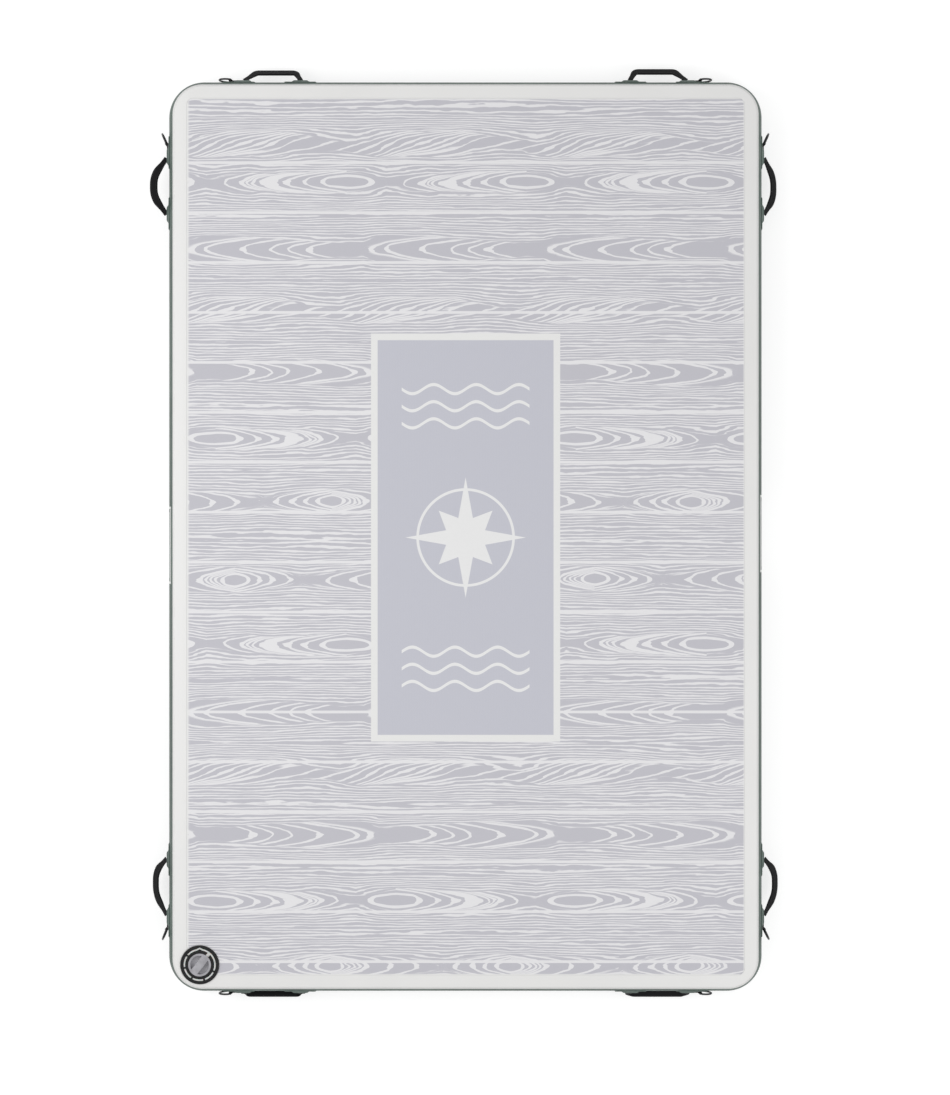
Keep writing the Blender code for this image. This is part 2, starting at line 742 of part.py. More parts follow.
def strap_mesh():
    """The whole strap in its own plane, lofted from thin feet to the folded bar.

    Its origin is the hinge line, X runs along that line and Y away from it.
    """
    bend, leg = handle_bend()
    across = Vector((-leg.y, leg.x))
    foot = Vector((FOOT_HALF_SPAN, 0.0))
    edge = FOOT_THICKNESS / 2
    foot_half = FOOT_WIDTH / 2 / leg.y
    root = Vector((foot.x, -FOOT_NOSE))
    nose_half = math.sqrt(edge ** 2 - FOOT_NOSE ** 2)
    stations = [
        (root, Vector((-1.0, 0.0)), foot_half, nose_half),
        (foot, Vector((-1.0, 0.0)), foot_half, edge),
    ]
    grip_half = GRIP_WIDTH / 2
    deep = GRIP_THICKNESS / 2
    middle = (foot + Vector(bend[0])) / 2
    stations.append((middle, across, (FOOT_WIDTH / 2 + grip_half) / 2, (edge + deep) / 2))
    turn = math.atan2(-across.x, -across.y) / SHOULDER_BEND_STEPS
    for step, point in enumerate(bend):
        lean = turn * (SHOULDER_BEND_STEPS - step)
        normal = Vector((-math.sin(lean), -math.cos(lean)))
        stations.append((Vector(point), normal, grip_half, deep))
    other = [
        (Vector((-point.x, point.y)), Vector((-normal.x, normal.y)), half, depth)
        for point, normal, half, depth in stations[::-1]
    ]
    shell = bmesh.new()
    rings = []
    for point, normal, half, depth in stations + other:
        flat = half - WEBBING_EDGE
        section = (
            (half, 0.0), (flat, depth), (-flat, depth),
            (-half, 0.0), (-flat, -depth), (flat, -depth),
        )
        rings.append([
            shell.verts.new((point.x + normal.x * out, point.y + normal.y * out, up))
            for out, up in section
        ])
    for ring, following in zip(rings, rings[1:]):
        count = len(ring)
        for i in range(count):
            j = (i + 1) % count
            shell.faces.new((ring[i], ring[j], following[j], following[i]))
    shell.faces.new(rings[0][::-1])
    shell.faces.new(rings[-1])
    bmesh.ops.recalc_face_normals(shell, faces=shell.faces)
    mesh = bpy.data.meshes.new("handle_strap")
    shell.to_mesh(mesh)
    shell.free()
    return mesh


def ring_curve():
    """A D of round wire: its bar on Z, its bow towards +X."""
    half = RING_BAR / 2
    edge = half - RING_CORNER
    lower = [(x, z) for x, z in arc((RING_CORNER, -edge), RING_CORNER, math.pi, 1.5 * math.pi, 2)]
    bow = arc((RING_STRAIGHT, 0.0), half, -math.pi / 2, math.pi / 2, RING_ARC_STEPS)
    upper = [(x, -z) for x, z in lower[::-1]]
    data = bpy.data.curves.new("d_ring", "CURVE")
    data.dimensions = "3D"
    data.fill_mode = "FULL"
    data.bevel_depth = RING_WIRE / 2
    data.bevel_resolution = 1
    spline = data.splines.new("POLY")
    points = lower + bow + upper
    spline.points.add(len(points) - 1)
    for point, (x, z) in zip(spline.points, points):
        point.co = (x, 0.0, z, 1.0)
    spline.use_cyclic_u = True
    return data


def ring_loop_curve(hand):
    """A webbing loop round the ring's bar, its doubled tail run back into the boss."""
    outer = RING_WIRE / 2 + GAP + RING_LOOP_THICKNESS
    tail = 2 * RING_LOOP_THICKNESS
    ring_x = FOOT_HALF_SPAN + RING_FROM_FOOT
    boss_end = FOOT_HALF_SPAN + NEAR_BOSS_SHIFT + BOSS_LENGTH / 2
    tail_end = boss_end - RING_LOOP_TAIL - ring_x
    shut = math.asin((outer - tail) / outer)
    points = arc((0.0, 0.0), outer, -math.pi / 2, math.pi + shut, RING_LOOP_STEPS)
    points += [(tail_end, -outer + tail), (tail_end, -outer)]
    hole = circle((0.0, 0.0), RING_WIRE / 2 + GAP, RING_LOOP_STEPS)
    outlines = [[(hand * x, y) for x, y in points], [(hand * x, y) for x, y in hole]]
    return flat_curve("ring_loop", outlines, RING_LOOP_WIDTH)


def build_station(name, wall, end, droop, stand, shapes):
    """Patches, handle strap, D-ring and its loop at one place along the wall."""
    location, rotation, hand = station_place(wall, end)
    droop = math.radians(droop)
    stand = math.radians(stand)
    station = empty(name + "_station", location, rotation)
    near_x = hand * (FOOT_HALF_SPAN + NEAR_PATCH_SHIFT)
    near_place = Matrix.Translation((near_x, 0.0, 0.0))
    far_place = Matrix.Translation((-hand * FOOT_HALF_SPAN, 0.0, 0.0))
    part(name + "_ring_base", shapes["near", hand], GREEN_PVC, station, near_place)
    part(name + "_handle_base", shapes["far"], GREEN_PVC, station, far_place)
    hinge = empty(name + "_handle_axis", (0.0, HINGE_OUT, 0.0), (-droop, 0.0, 0.0), station)
    part(name + "_handle", shapes["strap"], WEBBING, hinge)
    ring_x = hand * (FOOT_HALF_SPAN + RING_FROM_FOOT)
    heading = stand if hand > 0 else math.pi - stand
    pin = empty(name + "_ring_axis", (ring_x, RING_OUT, 0.0), (0.0, 0.0, heading), station)
    part(name + "_d_ring", shapes["ring"], RING_COAT, pin)
    loop_place = Matrix.Translation((ring_x, RING_OUT, 0.0))
    part(name + "_ring_loop", ring_loop_curve(hand), WEBBING, station, loop_place)


def build_stations():
    """All eight, from one set of shared shapes."""
    shapes = {
        ("near", 1): base_mesh("ring_base_right", 1, True),
        ("near", -1): base_mesh("ring_base_left", -1, True),
        "far": base_mesh("handle_base", 1, False),
        "strap": strap_mesh(),
        "ring": ring_curve(),
    }
    for row in STATIONS:
        build_station(*row, shapes)


# The inflation valve, in a frame on the top skin at the valve's centre

def build_valve():
    """Body, nut, gasket, leash, cap and poppet."""
    valve = empty("valve_axis", (VALVE_X, VALVE_Y, SKIN_TOP))
    build_valve_body(valve)
    nut_top = -SKIN_THICKNESS - GAP
    nut_bottom = nut_top - NUT_HEIGHT
    nut = turned(
        "valve_nut",
        [
            (BARREL_RADIUS + GAP, nut_top),
            (NUT_RADIUS, nut_top),
            (NUT_RADIUS, nut_bottom + NUT_CHAMFER),
            (NUT_RADIUS - NUT_CHAMFER, nut_bottom),
            (BARREL_RADIUS + GAP, nut_bottom),
        ],
        BLACK_NYLON, valve,
    )
    smooth(nut)
    inner = BARREL_RADIUS + GAP
    outer = RIM_RADIUS - RIM_EDGE
    smooth(flat_ring("valve_gasket", inner, outer, GAP, GASKET_THICKNESS, BLACK_RUBBER, valve))
    build_leash(valve)
    build_cap(valve)
    build_poppet(valve)


def flat_ring(name, inner, outer, bottom, thickness, coat, parent):
    """A square-edged ring."""
    top = bottom + thickness
    profile = [(inner, top), (outer, top), (outer, bottom), (inner, bottom)]
    return turned(name, profile, coat, parent)


def spoke(angle, first, last, height, size, lift):
    """Placement and size of a bar that runs outward at an angle."""
    turn = Matrix.Rotation(angle, 4, "Z")
    middle = Matrix.Translation(((first + last) / 2, 0.0, height + lift))
    return turn @ middle, (last - first, size[0], size[1])


def build_valve_body(valve):
    """Rim, leash groove, collar, threaded barrel, seat and the poppet's spider."""
    bore = CAP_RADIUS + CAP_CLEARANCE
    floor = VALVE_BASE + GROOVE_FLOOR
    collar_top = VALVE_BASE + COLLAR_HEIGHT
    rim_top = VALVE_BASE + RIM_HEIGHT
    body = turned(
        "valve_body",
        [
            (BARREL_BORE, floor),
            (bore, floor),
            (bore, collar_top),
            (COLLAR_RADIUS, collar_top),
            (COLLAR_RADIUS, floor),
            (GROOVE_RADIUS, floor),
            (GROOVE_RADIUS, rim_top),
            (RIM_RADIUS - RIM_EDGE, rim_top),
            (RIM_RADIUS, rim_top - RIM_EDGE),
            (RIM_RADIUS, VALVE_BASE),
            (BARREL_RADIUS, VALVE_BASE),
            (BARREL_RADIUS, -BARREL_LENGTH),
            (SEAT_RADIUS, -BARREL_LENGTH),
            (SEAT_RADIUS, SEAT_HEIGHT - BARREL_LENGTH),
            (LOWER_BORE, SEAT_HEIGHT - BARREL_LENGTH),
            (LOWER_BORE, -GASKET_STEP),
            (BARREL_BORE, -GASKET_STEP),
        ],
        BLACK_NYLON, valve,
    )
    body = settle(body, BLACK_NYLON)
    for count in range(TAB_COUNT):
        angle = TAB_FIRST - TAB_PITCH * count
        matrix, size = spoke(
            angle, COLLAR_RADIUS - TAB_LAP, GROOVE_RADIUS + TAB_LAP, collar_top,
            (TAB_WIDTH, TAB_THICKNESS), -TAB_THICKNESS / 2 - GAP,
        )
        name = "leash_tab_%d" % count
        boolean(body, cutter(name, box_data(name, size), valve, matrix), "UNION")
    hub = cutter(
        "spider_hub",
        cylinder_data("spider_hub", HUB_RADIUS, -HUB_TOP - HUB_HEIGHT, -HUB_TOP, TURN_STEPS),
        valve,
    )
    for count in range(SPIDER_ARMS):
        angle = math.pi / 2 + math.tau * count / SPIDER_ARMS
        matrix, size = spoke(
            angle, HUB_RADIUS - STEM_RADIUS, LOWER_BORE + OVERRUN / 2,
            -HUB_TOP - HUB_HEIGHT / 2, (SPIDER_ARM_WIDTH, SPIDER_ARM_HEIGHT), 0.0,
        )
        name = "spider_arm_%d" % count
        boolean(hub, cutter(name, box_data(name, size), valve, matrix), "UNION")
    boolean(body, hub, "UNION")
    stem_hole = cylinder_data(
        "stem_hole", STEM_RADIUS + GAP, -HUB_TOP - HUB_HEIGHT - OVERRUN, OVERRUN - HUB_TOP,
        TURN_STEPS,
    )
    boolean(body, cutter("stem_hole", stem_hole, valve), "DIFFERENCE")
    lug_room = (2 * (LUG_REACH + GAP), LUG_WIDTH + 2 * GAP, HUB_HEIGHT + 2 * OVERRUN)
    lug_place = Matrix.Translation((0.0, 0.0, -HUB_TOP - HUB_HEIGHT / 2))
    slot = cutter("lug_slot", box_data("lug_slot", lug_room), valve, lug_place)
    boolean(body, slot, "DIFFERENCE")
    strap_room, strap_size = spoke(
        LEASH_ANGLE, BARREL_BORE + LEASH_EYE_WIDTH, COLLAR_RADIUS + OVERRUN / 4, floor,
        (LEASH_STRAP_WIDTH + 2 * LEASH_CLEARANCE, OVERRUN), OVERRUN / 2,
    )
    notch = cutter("strap_notch", box_data("strap_notch", strap_size), valve, strap_room)
    boolean(body, notch, "DIFFERENCE")
    lug_reach = LEASH_LUG_REACH + LEASH_CLEARANCE
    lug_room, lug_size = spoke(
        LEASH_LUG_ANGLE, GROOVE_RADIUS - OVERRUN / 4, lug_reach, floor,
        (LEASH_LUG_WIDTH + 2 * LEASH_CLEARANCE, OVERRUN), OVERRUN / 2,
    )
    notch = cutter("lug_notch", box_data("lug_notch", lug_size), valve, lug_room)
    boolean(body, notch, "DIFFERENCE")
    smooth(body)


def build_leash(valve):
    """A pale ring under the tabs, a strap across the collar and an eye round the cap."""
    bottom = VALVE_BASE + GROOVE_FLOOR + GAP
    outer = GROOVE_RADIUS - LEASH_CLEARANCE
    ring = flat_ring(
        "cap_leash", outer - LEASH_WIDTH, outer, bottom, LEASH_THICKNESS, PALE_RUBBER, valve
    )
    ring = settle(ring, PALE_RUBBER)
    eye_inner = BARREL_BORE - SKIRT_CLEARANCE + LEASH_CLEARANCE
    eye = flat_ring(
        "leash_eye", eye_inner, eye_inner + LEASH_EYE_WIDTH, bottom, LEASH_THICKNESS,
        PALE_RUBBER, valve,
    )
    make_cutter(eye)
    boolean(ring, eye, "UNION")
    thin = LEASH_THICKNESS - 2 * LEASH_STRAP_THINNER
    lap = LEASH_EYE_WIDTH / 2
    for name, angle, first, last, width in (
        ("leash_strap", LEASH_ANGLE, eye_inner + lap, outer - lap, LEASH_STRAP_WIDTH),
        ("leash_lug", LEASH_LUG_ANGLE, outer - lap, LEASH_LUG_REACH, LEASH_LUG_WIDTH),
    ):
        matrix, size = spoke(angle, first, last, bottom, (width, thin), LEASH_THICKNESS / 2)
        boolean(ring, cutter(name, box_data(name, size), valve, matrix), "UNION")
    smooth(ring)


def build_cap(valve):
    """The screw cap with its two D-shaped finger pockets, and the ring it seals on."""
    top = VALVE_BASE + CAP_HEIGHT
    under = VALVE_BASE + GROOVE_FLOOR + GAP + LEASH_THICKNESS + GAP
    skirt = BARREL_BORE - SKIRT_CLEARANCE
    cap = turned(
        "valve_cap",
        [
            (0.0, top),
            (CAP_RADIUS - CAP_EDGE, top),
            (CAP_RADIUS, top - CAP_EDGE),
            (CAP_RADIUS, under),
            (skirt, under),
            (skirt, -SKIRT_LENGTH),
            (skirt - SKIRT_THICKNESS, -SKIRT_LENGTH),
            (skirt - SKIRT_THICKNESS, -CAP_WEB),
            (0.0, -CAP_WEB),
        ],
        GREY_NYLON, valve, closed=False,
    )
    cap = settle(cap, GREY_NYLON)
    floor = POCKET_FLOOR - CAP_WEB
    pockets = cutter(
        "cap_pockets",
        cylinder_data("cap_pockets", POCKET_RADIUS, floor, top + OVERRUN, TURN_STEPS),
        valve,
    )
    bar_size = (2 * CAP_RADIUS, GRIP_BAR_WIDTH, 2 * (top + BARREL_LENGTH))
    bar = cutter(
        "cap_grip_bar", box_data("cap_grip_bar", bar_size), valve,
        Matrix.Rotation(GRIP_BAR_ANGLE, 4, "Z"),
    )
    boolean(pockets, bar, "DIFFERENCE")
    boolean(cap, pockets, "DIFFERENCE")
    smooth(cap)
    bottom = -SKIRT_LENGTH - GAP - CAP_GASKET_THICKNESS
    gasket = flat_ring(
        "cap_gasket", skirt - SKIRT_THICKNESS, skirt, bottom, CAP_GASKET_THICKNESS,
        BLACK_RUBBER, valve,
    )
    smooth(gasket)


def build_poppet(valve):
    """Stem, button, lock lugs and plate in one, with its seal and its spring."""
    seal_top = -BARREL_LENGTH - GAP
    plate_top = seal_top - SEAL_THICKNESS - GAP
    button_bottom = SPRING_ROOM - HUB_TOP
    button_top = button_bottom + BUTTON_HEIGHT
    stem = turned(
        "poppet",
        [
            (0.0, button_top),
            (BUTTON_RADIUS, button_top),
            (BUTTON_RADIUS, button_bottom),
            (STEM_RADIUS, button_bottom),
            (STEM_RADIUS, plate_top),
            (PLATE_RADIUS, plate_top),
            (PLATE_RADIUS, plate_top - PLATE_THICKNESS),
            (0.0, plate_top - PLATE_THICKNESS),
        ],
        YELLOW_NYLON, valve, closed=False,
    )
    stem = settle(stem, YELLOW_NYLON)
    lug_size = (2 * LUG_REACH, LUG_WIDTH, LUG_HEIGHT)
    lug_place = Matrix.Translation((0.0, 0.0, -HUB_TOP + GAP + LUG_HEIGHT / 2))
    lugs = cutter("lock_lugs", box_data("lock_lugs", lug_size), valve, lug_place)
    boolean(stem, lugs, "UNION")
    bar_size = (CROSSBAR_LENGTH, CROSSBAR_WIDTH, 2 * CROSSBAR_HEIGHT)
    bar_place = Matrix.Translation((0.0, 0.0, button_top))
    bar = cutter("button_bar", box_data("button_bar", bar_size), valve, bar_place)
    boolean(stem, bar, "UNION")
    smooth(stem)
    seal = flat_ring(
        "poppet_seal", SEAT_RADIUS - GAP, SEAT_RADIUS + SEAL_OVERLAP, seal_top - SEAL_THICKNESS,
        SEAL_THICKNESS, BLACK_RUBBER, valve,
    )
    smooth(seal)
    build_spring(valve, button_bottom)


def build_spring(valve, button_bottom):
    """An open coil between the spider's hub and the button."""
    low = -HUB_TOP + GAP + SPRING_WIRE / 2
    high = button_bottom - GAP - SPRING_WIRE / 2
    count = SPRING_TURNS * SPRING_POINTS
    data = bpy.data.curves.new("poppet_spring", "CURVE")
    data.dimensions = "3D"
    data.fill_mode = "FULL"
    data.bevel_depth = SPRING_WIRE / 2
    data.bevel_resolution = 1
    data.use_fill_caps = True
    spline = data.splines.new("POLY")
    spline.points.add(count)
    for step, point in enumerate(spline.points):
        angle = math.tau * step / SPRING_POINTS
        height = low + (high - low) * step / count
        x = SPRING_RADIUS * math.cos(angle)
        y = SPRING_RADIUS * math.sin(angle)
        point.co = (x, y, height, 1.0)
    part("poppet_spring", data, SPRING_STEEL, valve)


def main():
    """Build the whole dock."""
    build_chamber()
    build_stations()
    build_valve()
    bpy.context.view_layer.update()


main()
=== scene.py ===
"""The look of an inflatable dock platform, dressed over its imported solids.

Every piece is made in the frame's own coordinates: metres, +Z up, +Y towards the head
end, +X to the right, with the dock resting on Z = 0.
"""

import json
import math

import bmesh
import bpy
import numpy as np
from bpy.props import (
    BoolProperty,
    FloatProperty,
    FloatVectorProperty,
    IntProperty,
    PointerProperty,
)
from mathutils import Matrix, Vector


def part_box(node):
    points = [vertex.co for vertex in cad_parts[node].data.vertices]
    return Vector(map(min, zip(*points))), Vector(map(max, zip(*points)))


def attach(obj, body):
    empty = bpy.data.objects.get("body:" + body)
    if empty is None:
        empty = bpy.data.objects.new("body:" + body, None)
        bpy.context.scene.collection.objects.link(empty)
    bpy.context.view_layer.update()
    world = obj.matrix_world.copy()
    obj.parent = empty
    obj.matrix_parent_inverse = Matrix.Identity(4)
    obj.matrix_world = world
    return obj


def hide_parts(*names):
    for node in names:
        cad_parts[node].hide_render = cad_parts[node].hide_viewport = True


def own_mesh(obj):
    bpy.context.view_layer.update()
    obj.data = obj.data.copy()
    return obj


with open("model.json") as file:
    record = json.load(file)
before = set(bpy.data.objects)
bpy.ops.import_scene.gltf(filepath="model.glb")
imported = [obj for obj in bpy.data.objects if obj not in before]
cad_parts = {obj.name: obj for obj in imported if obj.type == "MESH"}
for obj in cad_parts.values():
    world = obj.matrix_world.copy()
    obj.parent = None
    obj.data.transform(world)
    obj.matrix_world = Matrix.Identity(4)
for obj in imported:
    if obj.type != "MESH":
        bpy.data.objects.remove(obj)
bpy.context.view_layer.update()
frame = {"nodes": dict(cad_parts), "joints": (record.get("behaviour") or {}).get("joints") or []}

bl_info = {
    "name": "Inflatable Dock Look",
    "version": (1, 0, 0),
    "blender": (4, 5, 0),
    "location": "3D View > Sidebar > Dock",
    "description": "Dresses an inflatable dock platform over its packed solids",
    "category": "Object",
}

JOINTS = {joint["name"]: joint for joint in frame["joints"]}
STATIONS = (
    "left_head", "left_foot", "right_head", "right_foot",
    "head_left", "head_right", "foot_left", "foot_right",
)

# Clearances and finish of the meshes
GAP = 0.0003
OVERRUN = 0.004
MERGE = 0.00002
SMOOTH_ANGLE = math.radians(38.0)
WIRE_ANGLE = math.radians(60.0)

# Chamber, as the solids have it
DECK_LOW, DECK_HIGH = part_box("deck_sheet")
SKIN_LOW, SKIN_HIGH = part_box("top_skin")
WALL_LOW, WALL_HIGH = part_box("side_wall")
BODY_HEIGHT = DECK_HIGH.z
MID_HEIGHT = BODY_HEIGHT / 2
SKIN_INSET = 0.003
HALF_X = SKIN_HIGH.x + SKIN_INSET
HALF_Y = SKIN_HIGH.y + SKIN_INSET
WALL_BULGE = WALL_HIGH.x - HALF_X
WALL_RADIUS = (MID_HEIGHT ** 2 + WALL_BULGE ** 2) / (2 * WALL_BULGE)
WALL_CENTRE = WALL_BULGE - WALL_RADIUS
WALL_THICKNESS = 0.0012
TAPE_THICKNESS = 0.0012
TAPE_BORDER = HALF_X - DECK_HIGH.x - GAP
TAPE_DROP = 0.010
SHOULDER_ROUND = 0.003
UPPER_LIP = 0.012
LOWER_LIP = 0.042
CORNER_RADIUS = 0.072
DECK_CORNER = 0.018
DECK_CORNER_STEPS = 8
DECK_COLUMNS = 24

# Stations, in a frame whose X runs along the wall and whose Y points outward
PATCH_SIZE = (0.084, 0.076)
PATCH_CORNER = 0.014
PATCH_TOP = 0.0023
BOSS_SIZE = (0.050, 0.038)
BOSS_CORNER = 0.008
BOSS_OUT = 0.0070
BOSS_FILLET = 0.0012
# From the patch's middle over its welded edge, as (inset, height over the wall)
PATCH_RINGS = (
    (0.0300, GAP), (0.0150, GAP), (0.0, GAP), (0.0, 0.0012), (0.0004, 0.0017),
    (0.0012, 0.0021), (0.0050, PATCH_TOP), (0.0062, PATCH_TOP - 0.0003),
    (0.0074, PATCH_TOP),
)
# From the boss's foot to its top, as (inset, share of its rise)
BOSS_RINGS = (
    (0.0, 0.05), (0.0018, 0.20), (0.0038, 0.45), (0.0058, 0.72), (0.0078, 0.90),
    (0.0098, 0.98), (0.0118, 1.0), (0.0165, 1.0),
)
FOOT_HALF_SPAN = 0.075
NEAR_PATCH_SHIFT = 0.0125
NEAR_BOSS_SHIFT = 0.0030
RING_FROM_FOOT = 0.037
RING_BAR = 0.045
RING_WIRE = 0.005
RING_STRAIGHT = 0.007
RING_CORNER = 0.006
LOOP_WIDTH = 0.025
LOOP_THICKNESS = 0.0014
LOOP_TAIL = 0.012
LOOP_OVERLAP = math.radians(62.0)
LOOP_STEPS = 24
# How far outside its boss the loop's two layers come together, the gap between them,
# and the rounding of the webbing's edges
LOOP_CLOSE = 0.0015
LAYER_GAP = 0.00005
LOOP_EDGE = 0.0005

# Valve, in a frame on the top skin at its centre
VALVE = Vector(JOINTS["cap_turn"]["pos_m"])
# How high the shapes that cut into it reach, and how long the round ones are
CUT_TOP = 0.02
CUT_LENGTH = 0.02
VALVE_BASE = 0.0016
RIM_RADIUS = 0.05085
RIM_CLEARANCE = 0.0008
NOTCH_STEPS = 96
RIM_TOP = VALVE_BASE + 0.0038
GROOVE_RADIUS = 0.0427
GROOVE_FLOOR = VALVE_BASE + 0.0012
COLLAR_RADIUS = 0.0373
COLLAR_TOP = VALVE_BASE + 0.0045
CAP_RADIUS = 0.0300
CAP_TOP = VALVE_BASE + 0.0060
CAP_WEB = -0.0048
SKIRT_END = -0.0085
SKIRT_THICKNESS = 0.0035
POCKET_RADIUS = 0.0245
POCKET_STEPS = 24
POCKET_FLOOR = CAP_WEB + 0.0020
# From a pocket's floor to above the cap, as (inset, height)
POCKET_RINGS = (
    (0.0012, POCKET_FLOOR), (0.0004, POCKET_FLOOR + 0.0006),
    (0.0, POCKET_FLOOR + 0.0014), (-0.0004, CUT_TOP),
)
BARREL_RADIUS = 0.034
BARREL_BORE = 0.027
BARREL_LENGTH = 0.040
WELL_RADIUS = 0.0235
WELL_TOP = -0.010
SEAT_RADIUS = 0.0200
SEAT_TOP = 0.004 - BARREL_LENGTH
SPIDER_HUB = 0.0085
HUB_TOP = 0.027
HUB_HEIGHT = 0.005
HUB_STEPS = 48
ARMS = 3
ARM_SPAN = (0.006, 0.0245)
ARM_HEIGHTS = (-0.0315, -0.0275)
ARM_WIDTH = 0.003
STEM_BORE = 0.0033
LUG_SLOT_REACH = 0.0051
LUG_SLOT_WIDTH = 0.0028
LUG_SLOT_HEIGHTS = (-0.036, -0.023)
SPRING_WIRE = 0.00055
SPRING_TURNS = 6
SPRING_STEPS = 24
TABS = 5
FIRST_TAB = math.radians(335.0)
TAB_PITCH = math.radians(-48.0)
TAB_SIZE = (GROOVE_RADIUS - COLLAR_RADIUS + 0.0024, 0.0050, 0.0011)
TAB_PLACE = ((COLLAR_RADIUS + GROOVE_RADIUS) / 2, 0.0, COLLAR_TOP - 0.0008)
LEASH_LOW = GROOVE_FLOOR + GAP
LEASH_HIGH = LEASH_LOW + 0.0014
LEASH_ANGLE = math.radians(50.0)
LEASH_BAND = 0.0042
LEASH_STRAP = 0.0088
EYE_BAND = 0.0030
# The collar's notch for the leash's strap
NOTCH_SPAN = (0.0300, 0.0385)
NOTCH_WIDTH = 0.0100
# The peak of groove and leash: its heading and half spread, its tip, the slope of its
# sides, the radius that it rises from, and the radii that it pushes out
PEAK_ANGLE = math.radians(90.0)
PEAK_SPREAD = 0.7
PEAK_TIP = 0.0455
PEAK_SLOPE = math.radians(26.6)
PEAK_FROM = 0.0422
PEAK_BAND = (0.0375, 0.0445)
GRIP_ANGLE = math.radians(52.0)

# Print: rows of figured grain, as (height, kind, direction, first figure), in the
# dock's plan, with the figures of a row one repeat apart
REPEAT = 0.4730
GRAIN_ROWS = (
    (1.0275, "flame", 1, -0.6260),
    (0.9316, "eye", -1, -0.3127),
    (0.7542, "broad", -1, -0.3232),
    (0.5913, "flame", 1, -0.6701),
    (0.4323, "broad", 1, -0.6517),
    (0.2575, "eye", 1, -0.6570),
    (0.0920, "nest", -1, -0.3522),
    (-0.1130, "nest", 1, -0.6071),
    (-0.2839, "eye", -1, -0.3127),
    (-0.4626, "broad", -1, -0.3232),
    (-0.6229, "flame", 1, -0.6701),
    (-0.7832, "broad", 1, -0.6464),
    (-0.9566, "eye", 1, -0.6570),
    (-1.1301, "nest", -1, -0.3548),
)
# Along one repeat of each kind of figure, in millimetres from its middle: growth rings
# counted from the middle, how wide a ring's line is where it crosses the row, and how far
# to either side of the row the figure reaches
FIGURES = {
    "eye": (
        (0, 0.0, 8, 30), (45, 0.6, 8, 30), (62, 1.0, 13, 30), (88, 1.5, 12, 29),
        (111, 2.0, 17, 28), (135, 2.5, 16, 27), (157, 3.0, 19, 26), (178, 3.5, 20, 24),
        (188, 3.9, 26, 22), (226, 4.1, 24, 22), (238, 4.5, 6, 24), (248, 5.0, 6, 25),
        (260, 6.0, 5, 26), (272, 7.0, 14, 24), (300, 7.6, 8, 20), (320, 8.0, 7, 16),
        (342, 8.4, 0, 12), (368, 8.5, 0, 9), (369, 1.6, 0, 9), (390, 1.3, 3, 14),
        (406, 1.0, 15, 20), (426, 0.7, 8, 25), (473, 0.0, 8, 30),
    ),
    "nest": (
        (0, 0.0, 5, 30), (20, 0.6, 6, 32), (37, 1.0, 8, 32), (68, 2.0, 12, 29),
        (101, 3.0, 14, 25), (135, 3.7, 16, 19), (146, 4.0, 18, 17), (160, 4.3, 4, 14),
        (172, 4.4, 0, 13), (184, 7.6, 0, 13), (189, 7.4, 10, 14), (222, 7.2, 6, 18),
        (247, 7.0, 15, 21), (262, 6.7, 5, 22), (290, 6.3, 5, 24), (312, 6.0, 20, 26),
        (350, 5.5, 9, 27), (383, 5.0, 12, 29), (397, 4.0, 7, 31), (410, 3.0, 6, 32),
        (423, 2.0, 6, 33), (440, 1.0, 8, 33), (455, 0.5, 6, 32), (473, 0.0, 5, 30),
    ),
    "broad": (
        (0, 0.3, 0, 20), (66, 0.7, 8, 21), (91, 1.0, 25, 23), (115, 1.5, 8, 26),
        (141, 2.0, 6, 28), (187, 3.0, 8, 31), (228, 3.6, 9, 33), (265, 4.0, 17, 35),
        (320, 4.6, 10, 36), (362, 5.0, 10, 34), (385, 5.6, 12, 31), (397, 6.0, 16, 28),
        (410, 6.4, 4, 23), (418, 6.5, 0, 20), (419, 0.3, 0, 20), (473, 0.3, 0, 20),
    ),
    "flame": (
        (0, 3.0, 7, 33), (42, 4.0, 12, 33), (85, 5.0, 5, 33), (118, 6.0, 12, 33),
        (140, 6.8, 6, 32), (172, 7.0, 5, 28), (205, 6.6, 4, 22), (250, 6.0, 5, 15),
        (300, 5.3, 4, 12), (340, 4.6, 4, 14), (372, 4.0, 7, 19), (395, 3.5, 6, 25),
        (425, 3.0, 12, 29), (448, 2.7, 7, 32), (473, 3.0, 7, 33),
    ),
}
# How far a kind's middle line strays from its row, in millimetres likewise
STRAYS = {"flame": (
    (0, 6), (130, 6), (162, 11), (240, 5), (306, -2), (350, -8), (394, -5), (438, 2), (473, 6))}
# For each kind: how fast its rings draw back to either side of the row (per metre), how
# much they lean along it, and where they turn to face the other way
FIGURE_SHAPES = {
    "eye": (135.0, 0.0, 356), "nest": (120.0, 0.0, 178),
    "broad": (135.0, 0.0, 473), "flame": (0.0, 2.4, 473),
}
# The first kinds, whose middle rings close to ovals
CLOSED_KINDS = 2
OVAL_POWER = 1.5
# How far from its row a leaning ring begins to curl, and how blunt a ring's tip is
CURL = 0.030
TIP_BLUNTNESS = 0.006
# What stands for 1 in the tables that the material reads
RINGS_SCALE = 10.0
WIDTH_SCALE = 0.040
SLOPE_SCALE = 100.0
REACH_SCALE = 0.050
STRAY_SCALE = 0.040
MILLIMETRE = 0.001
# Rings per metre: the least that is reckoned with, read over so many millimetres
LEAST_SLOPE = 3.0
SLOPE_SPAN = 12
# From a row's middle: where its strays have faded out, and where they are whole
STRAY_FADES = (0.085, 0.012)
